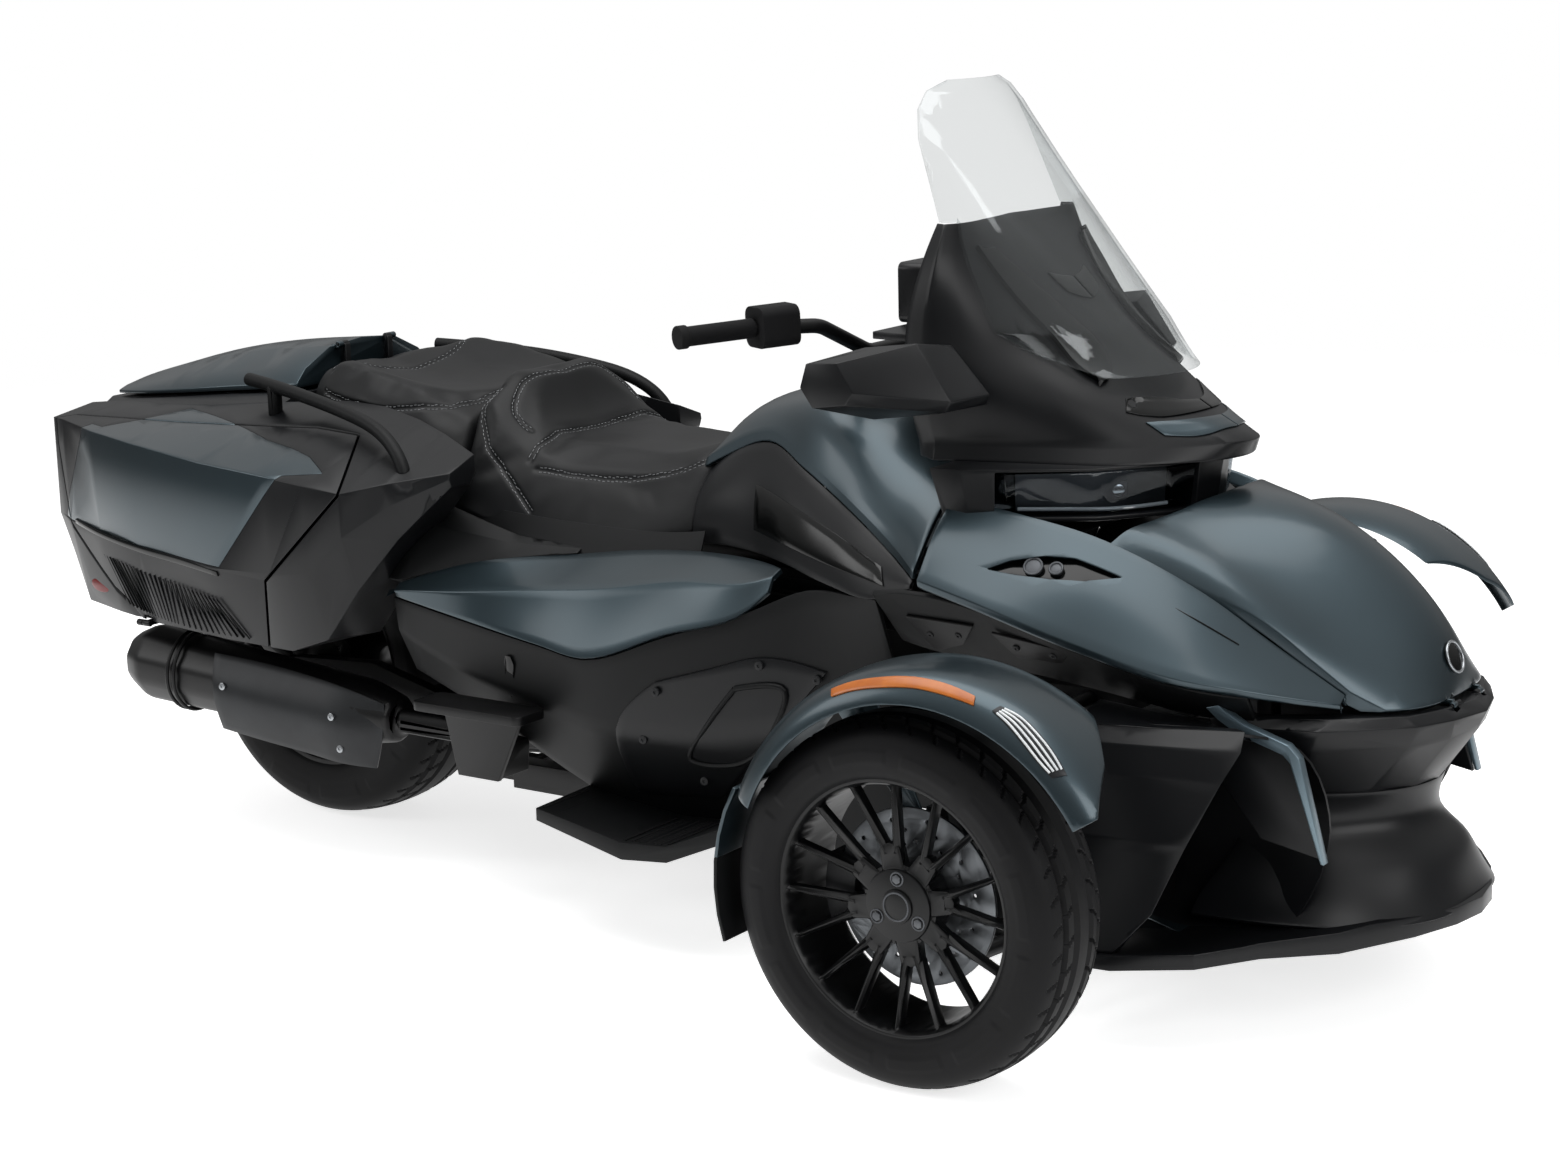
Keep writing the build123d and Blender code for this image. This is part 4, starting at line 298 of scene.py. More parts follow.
def smooth(obj, angle=30):
    """Shades smooth, with edges sharper than the angle kept crisp."""
    take(obj)
    bpy.ops.object.shade_smooth_by_angle(angle=math.radians(angle))
    return obj


def place_in_mesh(obj):
    """Puts an object's place, turn and scale into its mesh."""
    take(obj)
    bpy.ops.object.transform_apply(location=True, rotation=True, scale=True)
    return obj


def finish_piece(obj, name, body, material, angle=30, stands_for=()):
    """Names a piece, gives it its material and body, and hides the CAD nodes that it stands for."""
    if obj.type != "MESH":
        take(obj)
        bpy.ops.object.convert(target="MESH")
    place_in_mesh(obj)
    obj.name = obj.data.name = name
    obj.data.materials.clear()
    obj.data.materials.append(MATERIALS[material])
    smooth(obj, angle)
    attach(obj, body)
    if stands_for:
        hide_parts(*stands_for)
    deselect()
    return obj


def edit(obj, *steps):
    """Runs mesh operators in one stay in edit mode, each an (operator, settings), on all of an object."""
    take(obj)
    bpy.ops.object.mode_set(mode="EDIT")
    bpy.ops.mesh.select_all(action="SELECT")
    for operator, settings in steps:
        operator(**settings)
    bpy.ops.object.mode_set(mode="OBJECT")
    return obj


def weld(obj, flat=0.6):
    """Merges the loose corners of an imported mesh and clears its nearly flat faces of stray edges."""
    return edit(obj, (bpy.ops.mesh.remove_doubles, {"threshold": WELD_GAP * MM}),
                (bpy.ops.mesh.dissolve_limited, {"angle_limit": math.radians(flat)}))


def turn_out(obj):
    """Turns a closed mesh's faces outwards."""
    return edit(obj, (bpy.ops.mesh.normals_make_consistent, {"inside": False}))


def cad_copy(cad):
    """A loose copy of a CAD node with a mesh of its own."""
    copy = copied(NODES[cad])
    for key in list(copy.keys()):
        del copy[key]
    copy.parent = None
    copy.matrix_world = Matrix.Identity(4)
    return copy


def round_edges(obj, width, angle, segments=2):
    """Rounds every edge sharper than the angle, by a width in millimetres."""
    return modify(obj, "BEVEL", width=width * MM, segments=segments, limit_method="ANGLE",
                  angle_limit=math.radians(angle), use_clamp_overlap=False, miter_outer="MITER_ARC")


def dress(cad, material, width, flat=0.6, angle=28, segments=2, shade=32):
    """A welded and rounded copy of a CAD node that stands for it, with its own finish."""
    copy = round_edges(weld(cad_copy(cad), flat), width, angle, segments)
    return finish_piece(copy, cad + "_skin", BODY_OF[cad], material, shade, (cad,))


def flow(points, steps, sharp=()):
    """Points on a smooth line through the given ones, with a corner kept at each sharp one."""
    made = [points[0]]
    ends = sorted({0, len(points) - 1, *sharp})
    for start, stop in zip(ends, ends[1:]):
        run = points[start : stop + 1]
        gaps = [max((b - a).length, 1e-6) for a, b in zip(run, run[1:])]
        slopes = [(b - a) / gap for a, b, gap in zip(run, run[1:], gaps)]
        turns = [(m * far + n * near) / (near + far)
                 for m, n, near, far in zip(slopes, slopes[1:], gaps, gaps[1:])]
        first = 1.5 * slopes[0] - 0.5 * turns[0] if turns else slopes[0]
        last = 1.5 * slopes[-1] - 0.5 * turns[-1] if turns else slopes[-1]
        turns = [first, *turns, last]
        for a, b, m, n, gap in zip(run, run[1:], turns, turns[1:], gaps):
            for t in (k / steps for k in range(1, steps + 1)):
                made.append((2 * t**3 - 3 * t**2 + 1) * a + (t**3 - 2 * t**2 + t) * gap * m
                            + (3 * t**2 - 2 * t**3) * b + (t**3 - t**2) * gap * n)
    return made


def both(half):
    """A whole row of (x, y, z) from its half, which runs from the middle plane outwards."""
    return [(x, -y, z) for x, y, z in reversed(half[1:])] + list(half)


def surface(rows, steps=(4, 4), sharp_rows=(), sharp_columns=(), closed=False):
    """A smooth sheet through rows of points in millimetres, with some rows and columns kept sharp."""
    rows = [[Vector(p) * MM for p in row] for row in rows]
    if closed:
        rows = [[*row, row[0]] for row in rows]
    rows = [flow(row, steps[1], sharp_columns) for row in rows]
    columns = [flow(list(column), steps[0], sharp_rows) for column in zip(*rows)]
    wide, tall = len(columns), len(columns[0])
    deselect()
    bpy.ops.mesh.primitive_grid_add(x_subdivisions=wide - 1, y_subdivisions=tall - 1, size=1)
    sheet = bpy.context.object
    for index, vertex in enumerate(sheet.data.vertices):
        vertex.co = columns[index % wide][index // wide]
    if closed:
        weld(sheet, KEEP_FACES)
    return sheet


def face_out(obj, outward):
    """Turns an open sheet's faces to the side that a direction points to."""
    way = Vector(outward)
    if sum(face.area * face.normal.dot(way) for face in obj.data.polygons) < 0:
        edit(obj, (bpy.ops.mesh.flip_normals, {}))
    return obj


def twin_of(obj):
    """Adds the other side's copy to an object across the middle plane."""
    return modify(obj, "MIRROR", use_axis=(False, True, False), use_mirror_merge=False)


def thicken(obj, wall, outward, edge=SKIN_EDGE):
    """Gives a sheet its wall and rounded edges."""
    face_out(obj, outward)
    modify(obj, "SOLIDIFY", thickness=wall * MM, offset=-1, use_even_offset=True,
           use_quality_normals=True)
    return round_edges(obj, edge, SHEET_ANGLE) if edge else obj


def plate(outline, depth, edge=1.0, segments=2):
    """A flat plate through (x, y, z) points in millimetres, made thick along a vector."""
    deselect()
    bpy.ops.mesh.primitive_circle_add(vertices=len(outline), radius=1, fill_type="NGON")
    obj = bpy.context.object
    for vertex, point in zip(obj.data.vertices, outline):
        vertex.co = Vector(point) * MM
    move = {"TRANSFORM_OT_translate": {"value": Vector(depth) * MM}}
    turn_out(edit(obj, (bpy.ops.mesh.extrude_region_move, move)))
    if edge:
        round_edges(obj, edge, PLATE_ANGLE, segments)
    return obj


def barrel(start, end, radius, sides, edge):
    """A round bar between two points in millimetres."""
    start, end = Vector(start) * MM, Vector(end) * MM
    deselect()
    bpy.ops.mesh.primitive_cone_add(vertices=sides, radius1=radius * MM, radius2=radius * MM,
                                    depth=(end - start).length, location=(start + end) / 2,
                                    rotation=(end - start).to_track_quat("Z", "Y").to_euler())
    obj = place_in_mesh(bpy.context.object)
    return round_edges(obj, edge, PLATE_ANGLE) if edge else obj


def hoop(centre, axis, radius, thick):
    """A round ring about an axis."""
    deselect()
    bpy.ops.mesh.primitive_torus_add(major_radius=radius * MM, minor_radius=thick * MM, major_segments=64,
                                     minor_segments=12, location=Vector(centre) * MM,
                                     rotation=Vector(axis).to_track_quat("Z", "Y").to_euler())
    return place_in_mesh(bpy.context.object)


def round_curve(name, radius, sides):
    """An empty curve that makes round bars of a radius in millimetres."""
    curve = bpy.data.curves.new(name, "CURVE")
    curve.dimensions, curve.use_fill_caps = "3D", True
    curve.bevel_depth, curve.bevel_resolution = radius * MM, sides
    return curve


def tube(points, radius, steps=8, sides=3):
    """A round bar that flows through points in millimetres."""
    line = flow([Vector(p) * MM for p in points], steps)
    curve = round_curve("line", radius, sides)
    spline = curve.splines.new("POLY")
    spline.points.add(len(line) - 1)
    for point, place in zip(spline.points, line):
        point.co = (*place, 1)
    obj = bpy.data.objects.new("line", curve)
    bpy.context.scene.collection.objects.link(obj)
    take(obj)
    bpy.ops.object.convert(target="MESH")
    return bpy.context.object


def joined(pieces):
    """One object of several."""
    deselect()
    for piece in pieces:
        piece.select_set(True)
    bpy.context.view_layer.objects.active = pieces[0]
    bpy.ops.object.join()
    return bpy.context.object


def cut(obj, tool, operation="DIFFERENCE"):
    """Cuts one closed mesh with another, which is used up."""
    modify(obj, "BOOLEAN", operation=operation, object=tool, solver="EXACT")
    bpy.data.objects.remove(tool, do_unlink=True)
    return obj


def prism(outline, along, near, far):
    """A straight prism of an outline square to the y or z axis, between two distances in millimetres."""
    if along == "y":
        return plate([(u, near, v) for u, v in outline], (0, far - near, 0), edge=0)
    return plate([(u, v, near) for u, v in outline], (0, 0, far - near), edge=0)


def circle(count, start=0.0):
    """Pairs (cosine, sine) spread evenly round a circle, the first at a share of a turn."""
    angles = [math.tau * (k / count + start) for k in range(count)]
    return [(math.cos(angle), math.sin(angle)) for angle in angles]


def copied(obj):
    """A loose copy with a mesh of its own."""
    copy = obj.copy()
    copy.data = obj.data.copy()
    bpy.context.scene.collection.objects.link(copy)
    return copy


def pair(obj, name, material, angle=30):
    """Finishes a right-hand piece of the chassis together with its left-hand twin."""
    return finish_piece(twin_of(obj), name, "chassis", material, angle)


def on_side(rows, side):
    """Rows of right-hand points, or for the left-hand side their mirror image."""
    return [[(x, -side * y, z) for x, y, z in row] for row in rows]


# ---- Bodywork ----

# The finish of each CAD node that keeps its shape.
BODYWORK = {
    "paint": ["hood", "trunk_lid"],
    "blade": ["air_blades"],
    "satin_abs": ["nose_beak", "front_splitter", "headlight_housing", "mirrors", "instrument_panel",
                  "tail_body", "intake_pods"],
    "abs": ["front_liners", "footboards", "tail_side_panels", "grab_handles", "storage_tub",
            "rear_fender"],
    "rubber": ["handlebar_controls", "drive_belt"],
    "smoke": ["headlight_lenses"],
    "screen": ["windshield"],
    "steel_black": ["frame", "front_suspension", "rear_suspension", "handlebar", "steering_rack",
                    "passenger_footboards"],
    "alloy_dark": ["engine_block", "radiators", "knuckle_right", "knuckle_left"],
    "wheel": ["front_rim_right", "front_rim_left", "rear_rim"],
    "disc": ["front_disc_right", "front_disc_left"],
    "muffler": ["muffler"],
    "red": ["tail_lights"],
}

# Pieces whose broad facets meet in soft creases, with the settings that round those.
SOFT_CREASES = {"muffler": {"width": 10, "flat": 5, "angle": 9, "segments": 3, "shade": 30}}


# ---- Smooth skins in place of the plain CAD panels ----

TANK_ROWS = {
    75: [(0, 818), (60, 815), (105, 806), (146, 792), (152, 778)],
    120: [(0, 868), (60, 864), (110, 848), (150, 818), (157, 800)],
    230: [(0, 912), (70, 908), (130, 892), (172, 855), (180, 838)],
    330: [(0, 925), (100, 922), (175, 902), (222, 824), (228, 808)],
    436: [(0, 925), (120, 915), (215, 868), (268, 780), (272, 765)],
    562: [(0, 880), (140, 862), (245, 815), (326, 722), (330, 708)],
    628: [(0, 853), (150, 841), (268, 790), (370, 693), (373, 681)],
}
KNEE_ROWS = {
    85: [(150, 772), (196, 720), (208, 655)],
    120: [(155, 798), (202, 738), (214, 660)],
    230: [(178, 836), (226, 752), (246, 664)],
    330: [(226, 806), (272, 738), (290, 660)],
    436: [(270, 763), (314, 706), (330, 645)],
    562: [(328, 706), (358, 676), (372, 642)],
    628: [(371, 679), (379, 673), (381, 667)],
}
SIDE_ROWS = {
    -420: [(388, 570), (400, 558), (396, 546)],
    -300: [(345, 608), (400, 568), (400, 528)],
    -100: [(272, 632), (378, 588), (408, 500)],
    0: [(256, 645), (368, 598), (413, 489)],
    150: [(250, 655), (345, 622), (388, 540)],
    300: [(282, 655), (335, 635), (355, 592)],
    330: [(298, 654), (322, 645), (338, 622)],
}
COVER_ROWS = {
    -440: [(380, 540), (372, 480), (330, 400)],
    -300: [(397, 524), (380, 430), (305, 330)],
    -100: [(404, 496), (385, 390), (290, 230)],
    0: [(409, 485), (385, 370), (282, 190)],
    150: [(385, 535), (372, 370), (272, 180)],
    300: [(352, 588), (352, 390), (262, 175)],
    400: [(334, 630), (336, 420), (256, 178)],
    500: [(350, 636), (318, 470), (250, 230)],
    555: [(366, 638), (312, 520), (252, 330)],
}
FRONT_ROWS = {
    655: [(280, 780), (292, 800), (345, 758), (403, 688), (400, 676), (385, 672)],
    734: [(272, 768), (285, 787), (335, 740), (400, 668), (397, 655), (380, 655)],
    914: [(258, 730), (273, 751), (330, 700), (392, 618), (388, 605), (372, 606)],
    1065: [(227, 660), (241, 678), (290, 640), (355, 573), (350, 561), (335, 562)],
    1160: [(205, 594), (217, 612), (258, 585), (303, 553), (298, 542), (285, 544)],
    1270: [(182, 518), (187, 535), (196, 530), (205, 524), (203, 516), (196, 516)],
}
FAIRING_ROWS = {
    848: [(1015, 0), (1005, 50), (960, 110), (860, 190), (700, 232), (600, 262), (560, 235)],
    875: [(1030, 0), (1022, 30), (985, 72), (858, 172), (700, 225), (600, 255), (560, 240)],
    945: [(905, 0), (900, 40), (880, 90), (800, 180), (690, 235), (592, 260), (552, 256)],
    1040: [(785, 0), (782, 40), (768, 80), (720, 160), (655, 222), (580, 252), (540, 244)],
    1160: [(652, 0), (654, 40), (652, 80), (640, 150), (612, 206), (592, 232), (562, 222)],
    1212: [(590, 0), (596, 40), (600, 80), (606, 130), (603, 184), (590, 204), (572, 196)],
}
FASCIA_ROWS = {
    372: [(1342, 0), (1330, 60), (1285, 130), (1200, 188), (1120, 200)],
    325: [(1334, 0), (1322, 55), (1262, 122), (1190, 170), (1110, 190)],
    262: [(1378, 0), (1360, 88), (1282, 160), (1190, 200), (1090, 215)],
    205: [(1400, 0), (1384, 108), (1306, 196), (1190, 236), (1060, 250)],
    186: [(1408, 0), (1392, 118), (1318, 212), (1200, 258), (1060, 275)],
}

# The edge of the sensor slot on the right-hand front panel, and the way out of it.
SLOT_EDGE = [(755, -360, 708), (785, -342, 720), (836, -324, 729), (882, -314, 728), (956, -303, 704),
             (909, -332, 699), (857, -347, 700), (801, -355, 703)]
SLOT_OUT = Vector((0.18, -0.72, 0.67))
# How far out the slot's cutter starts, and how deep it goes, in millimetres.
SLOT_START, SLOT_DEPTH = 14, 26


def sections(rows):
    """Rows of (x, y, z) on the right-hand side from sections of (y, z) by x."""
    return [[(x, -y, z) for y, z in row] for x, row in rows.items()]


def levels(rows):
    """Whole rows of (x, y, z) from half outlines of (x, y) by height."""
    return [both([(x, y, z) for x, y in row]) for z, row in rows.items()]


def skin(cad, rows, material, wall, outward, twin=False, **shape):
    """A smooth wall that stands for a CAD node."""
    sheet = thicken(surface(rows, **shape), wall, outward)
    if twin:
        twin_of(sheet)
    return finish_piece(sheet, cad + "_skin", BODY_OF[cad], material, SKIN_SHADE, (cad,))


def make_front_panels():
    """The two painted panels beside the hood, each with a slot for its sensors."""
    sheet = surface(sections(FRONT_ROWS), steps=(7, 5), sharp_columns=(1, 3))
    panel = thicken(sheet, 4, (0.3, -1, 1), edge=0)
    # The slot is cut before the edges are rounded, while the wall is still a clean closed mesh.
    cut(panel, plate([Vector(p) + SLOT_OUT * SLOT_START for p in SLOT_EDGE], -SLOT_OUT * SLOT_DEPTH, 0))
    round_edges(panel, SKIN_EDGE, SHEET_ANGLE)
    finish_piece(twin_of(panel), "front_panels_skin", "chassis", "paint",
                 SKIN_SHADE, ("front_panels",))


def make_skins():
    """The painted and moulded walls that flow from nose to saddle."""
    tank = [both([(x, y, z) for y, z in row]) for x, row in TANK_ROWS.items()]
    skin("tank_cover", tank, "paint", 8, (0, 0, 1), steps=(6, 6), sharp_columns=(1, 7))
    skin("knee_panels", sections(KNEE_ROWS), "satin_abs", 8, (0, -1, 0.2), True, steps=(6, 5))
    skin("side_panels", sections(SIDE_ROWS), "paint", 9, (0, -1, 0.5), True, steps=(7, 6),
         sharp_columns=(1,))
    skin("lower_covers", sections(COVER_ROWS), "abs", 9, (0, -1, 0), True, steps=(5, 7),
         sharp_columns=(1,))
    make_front_panels()
    skin("upper_fairing", levels(FAIRING_ROWS), "satin_abs", 9, (1, 0, 0.4), steps=(6, 4),
         sharp_rows=(1,), sharp_columns=(1, 3, 9, 11))
    skin("front_fascia", levels(FASCIA_ROWS), "satin_abs", 7, (1, 0, 0), steps=(6, 6))


# ---- Load boxes, fenders and the other panels of two finishes ----

# The painted panel of a box in side view, and how far its top facet reaches in plan.
BAG_PAINT_SIDE = [(-1150, 820), (-1292, 603), (-988, 589), (-772, 577), (-604, 757), (-500, 764),
                  (-490, 900), (-1150, 900)]
BAG_PAINT_TOP = [(-1340, 330), (-1152, 388), (-1128, 396), (-1030, 262), (-721, 382), (-590, 413),
                 (-490, 466), (-490, 700), (-1340, 700)]
# Everything of a front fender inside this side view is its splash flap.
FLAP_SIDE = [(300, 100), (700, 100), (700, 318), (300, 318)]
# Rounded rims of the split parts, and the angles from which their edges round and their shading breaks.
BAG_RIM, FENDER_RIM, PART_ANGLE, PART_SHADE = 1.5, 1.2, 26, 32


def split(base, block):
    """What a copy of a closed mesh has inside a block, and the mesh without it."""
    inside = cut(copied(base), copied(block), "INTERSECT")
    return inside, cut(base, block)


def finish_part(obj, cad, name, material, width):
    """Rounds and names one part of a CAD node that was split where two finishes meet."""
    round_edges(weld(obj), width, PART_ANGLE)
    return finish_piece(obj, name, BODY_OF[cad], material, PART_SHADE, (cad,))


def two_finishes(cad, block, width, inner, outer):
    """Splits a CAD node by a block: (name, material) of what lies inside it, and of the rest."""
    for obj, (name, material) in zip(split(weld(cad_copy(cad)), block), (inner, outer)):
        finish_part(obj, cad, name, material, width)


def paint_block(side):
    """The space that holds a load box's painted panel on one side."""
    across = prism(BAG_PAINT_SIDE, "y", side * 200, side * 700)
    down = prism([(x, side * y) for x, y in BAG_PAINT_TOP], "z", 300, 1000)
    return cut(across, down, "INTERSECT")


def make_bags():
    """The black boxes with their painted panels, on the doors and on the fixed shells."""
    for side, word in SIDES:
        two_finishes("saddlebag_door_" + word, paint_block(side), BAG_RIM,
                     ("door_panel_" + word, "paint"), ("door_shell_" + word, "satin_abs"))
    base = weld(cad_copy("saddlebags"))
    shells = copied(base)
    for side, word in SIDES:
        block = paint_block(side)
        painted = cut(copied(base), copied(block), "INTERSECT")
        cut(shells, block)
        finish_part(painted, "saddlebags", "box_panel_" + word, "paint", BAG_RIM)
    bpy.data.objects.remove(base, do_unlink=True)
    finish_part(shells, "saddlebags", "box_shells", "satin_abs", BAG_RIM)


def make_fenders():
    """Painted fenders with a black splash flap."""
    for _, word in SIDES:
        two_finishes("fender_" + word, prism(FLAP_SIDE, "y", -900, 900), FENDER_RIM,
                     ("splash_flap_" + word, "abs"), ("fender_skin_" + word, "paint"))


def lie_on(name, place, way, lift=0.0):
    """Where a line through a place meets a piece, raised along its normal: (place, normal) in mm."""
    target = bpy.data.objects[name]
    start = Vector(place) * MM - Vector(way) * LINE_START
    hit, where, normal, _ = target.ray_cast(target.matrix_world.inverted() @ start, Vector(way))
    if not hit:
        raise RuntimeError("nothing to lie on at %s" % (place,))
    return (where + normal * lift * MM) / MM, normal


# ---- Wheels ----

FRONT_AXLE, REAR_AXLE, HALF_TRACK = (814, 281), (-900, 303), 668
# Half sections of the tyres from the bead to the crown: radius and distance from the middle plane.
FRONT_TYRE = [(194, 70), (200, 77), (214, 81.6), (232, 82.5), (248, 80), (260, 74.5), (268, 67),
              (274, 56), (278, 40), (280, 20), (281, 0)]
REAR_TYRE = [(194, 92), (202, 102), (222, 110), (246, 112), (266, 109), (280, 101), (290, 88),
             (296, 70), (300, 48), (302.5, 24), (303, 0)]
# A tyre's wall, its steps round the axle, and its steps between two points of the section.
TYRE_WALL, TYRE_STEPS, SECTION_STEPS = 7, 480, 5
# The tread: its depth, how far below the crown it is cut, and how far below it its width is taken.
TREAD_DEPTH, TREAD_BAND, CROWN_BAND, TREAD_EDGE = 7.0, 15, 14, 0.97
# Grooves on each half: the place as a share of the half width, and half the groove's own width.
GROOVES, GROOVE_STEEPNESS = ((0.3, 6.0), (0.68, 5.5)), 1.6
SIPES, SIPE_LEAN, SIPE_STEEPNESS, SIPE_START = 40, 1.4, 13, 0.36
# Blocks on the side walls: their distances below the crown, height, and pitch and length in steps.
BLOCK_BAND, BLOCK_HEIGHT, BLOCK_PITCH, BLOCK_LENGTH = (40, 62), 0.9, 40, 31
# The front hubs: where the face, its root and the nuts' roots lie, radii, and the nuts' own sizes.
HUB_FACE_Y, HUB_ROOT_Y, NUT_ROOT_Y, CAP_HEIGHT, NUT_HEIGHT = 719, 700, 705, 4, 3
HUB_R, CAP_R, CAP_RING_R, NUT_CIRCLE_R, NUT_SEAT_R, NUT_R, RING_THICK = 55, 26, 21, 41, 10, 7.5, 1.6
# The caliper: its inner face, width, outer and inner radius, and its arc in seven steps of degrees.
CALIPER_Y, CALIPER_WIDTH, CALIPER_RADII, CALIPER_AT, CALIPER_STEP = 628, 24, (132, 84), 150, 8


def tread(spin, across, half_width):
    """How deep the tread is cut at a turn of the wheel and a place across it, from 0 to 1."""
    side = across / half_width
    if abs(side) > TREAD_EDGE:
        return 0.0
    groove = max(1 - abs(abs(across) - half_width * share) / half for share, half in GROOVES)
    lean = spin * SIPES / math.tau + abs(side) * SIPE_LEAN + (0.5 if side > 0 else 0)
    sipe = 1 - abs((lean % 1) - 0.5) * SIPE_STEEPNESS if abs(side) > SIPE_START else 0
    return max(0.0, min(1.0, max(groove * GROOVE_STEEPNESS, sipe)))


def make_tyre(cad, half, axle, centre_y):
    """A tyre with grooves, shoulder sipes and a ring of blocks on each side wall."""
    crown_half = next(y for r, y in half if r >= half[-1][0] - CROWN_BAND)
    ring = [Vector((0, y, r)) for r, y in half]
    ring = flow(ring + [Vector((0, -p.y, p.z)) for p in reversed(ring[:-1])], SECTION_STEPS)
    count, reach = len(ring), max(p.z for p in ring)
    deselect()
    bpy.ops.mesh.primitive_grid_add(x_subdivisions=count - 1, y_subdivisions=TYRE_STEPS, size=1)
    obj = bpy.context.object
    for index, vertex in enumerate(obj.data.vertices):
        point, step = ring[index % count], index // count
        angle = math.tau * step / TYRE_STEPS
        below = reach - point.z
        depth = TREAD_DEPTH * tread(angle, point.y, crown_half) if below < TREAD_BAND else 0.0
        raised = BLOCK_BAND[0] < below < BLOCK_BAND[1] and step % BLOCK_PITCH < BLOCK_LENGTH
        across = point.y + math.copysign(BLOCK_HEIGHT if raised else 0.0, point.y)
        radius = (point.z - depth) * MM
        vertex.co = (axle[0] * MM + radius * math.cos(angle), (centre_y + across) * MM,
                     axle[1] * MM + radius * math.sin(angle))
    weld(obj, KEEP_FACES)
    turn_out(obj)
    modify(obj, "SOLIDIFY", thickness=TYRE_WALL * MM, offset=-1)
    return finish_piece(obj, cad + "_skin", BODY_OF[cad], "tyre", 28, (cad,))


def make_wheels():
    """Treaded tyres, and the front wheels' hub faces, cap rings and wheel nuts."""
    make_tyre("rear_tyre", REAR_TYRE, REAR_AXLE, 0)
    x, z = FRONT_AXLE
    for side, word in SIDES:
        make_tyre("front_tyre_" + word, FRONT_TYRE, FRONT_AXLE, side * HALF_TRACK)
        body = "front_wheel_" + word
        root, face, cap = [(x, side * y, z) for y in (HUB_ROOT_Y, HUB_FACE_Y, HUB_FACE_Y + CAP_HEIGHT)]
        hub = joined([barrel(root, face, HUB_R, 96, 2.5), barrel(root, cap, CAP_R, 64, 2)])
        finish_piece(hub, "hub_face_" + word, body, "wheel")
        finish_piece(hoop(cap, (0, 1, 0), CAP_RING_R, RING_THICK), "cap_ring_" + word, body, "alloy")
        nuts = []
        for along, up in circle(3, 1 / 4):
            nx, nz = x + NUT_CIRCLE_R * along, z + NUT_CIRCLE_R * up
            reach = (NUT_ROOT_Y, HUB_FACE_Y, HUB_FACE_Y + NUT_HEIGHT)
            root, face, top = [(nx, side * y, nz) for y in reach]
            nuts += [hoop(face, (0, 1, 0), NUT_SEAT_R, RING_THICK), barrel(root, top, NUT_R, 6, 0.8)]
        finish_piece(joined(nuts), "wheel_nuts_" + word, body, "alloy")


def make_calipers():
    """Calipers that straddle the discs behind the axle."""
    x, z = FRONT_AXLE
    for side, word in SIDES:
        shape = []
        for radius, way in zip(CALIPER_RADII, (1, -1)):
            for step in range(-3, 4):
                angle = math.radians(CALIPER_AT + way * step * CALIPER_STEP)
                along, up = radius * math.cos(angle), radius * math.sin(angle)
                shape.append((x + along, side * CALIPER_Y, z + up))
        block = plate(shape, (0, side * CALIPER_WIDTH, 0), 4, 3)
        finish_piece(block, "caliper_" + word, "knuckle_" + word, "caliper")


# ---- Small parts ----


# How far a moulding is lifted off its panel and how far its wall goes below its rows, in millimetres.
DECAL_LIFT, DECAL_ROOT = 0.5, 1.5


def decal(name, rows, material, wall, outward, twin=True, body="chassis", steps=(3, 4), edge=0.8,
          on=None):
    """A thin moulding that lies on a panel: its rows follow that panel, its wall stands off it."""
    sheet = face_out(surface(rows, steps), outward)
    if on:
        modify(sheet, "SHRINKWRAP", target=bpy.data.objects[on], wrap_method="NEAREST_SURFACEPOINT",
               wrap_mode="ABOVE_SURFACE", offset=DECAL_LIFT * MM)
    modify(sheet, "SOLIDIFY", thickness=(wall + DECAL_ROOT) * MM, offset=0.4, use_even_offset=False)
    if edge:
        round_edges(sheet, edge, SHEET_ANGLE)
    if twin:
        twin_of(sheet)
    return finish_piece(sheet, name, body, material, SKIN_SHADE)


def bars(first, last, count, radius, lift=(0, 0, 0)):
    """Thin parallel ribs between two lines of points, spread evenly along them."""
    first, last = [flow([Vector(p) for p in line], 12) for line in (first, last)]
    made = []
    for k in range(count):
        at = k / (count - 1)
        ends = [line[round(at * (len(line) - 1))] + Vector(lift) for line in (first, last)]
        made.append(barrel(ends[0], ends[1], radius, 6, 0))
    return joined(made)


# The six-sided socket of a screw head: its depth in millimetres and its radius as a share of the head's.
SOCKET_DEPTH, SOCKET_SHARE = 1.6, 0.42


def screws(places, way, radius, height):
    """Button-head screws with a hexagonal socket."""
    way, made = Vector(way), []
    for place in map(Vector, places):
        top = place + way * height
        head = barrel(place - way * 2, top, radius, 24, 1.0)
        socket = barrel(top - way * SOCKET_DEPTH, top + way * 4, radius * SOCKET_SHARE, 6, 0)
        made.append(cut(head, socket))
    return joined(made)


# The badge: the place on the hood, and its disc's radius, root and height.
BADGE_AT, BADGE_R, BADGE_ROOT, BADGE_HEIGHT = (1360, -6, 566), 25, 2, 3
# How far behind its edge the slot's tray lies, and how much wider than the slot it is.
TRAY_BACK, TRAY_GROWTH, SLOT_MIDDLE = 9, 0.12, Vector((850, -333, 702))
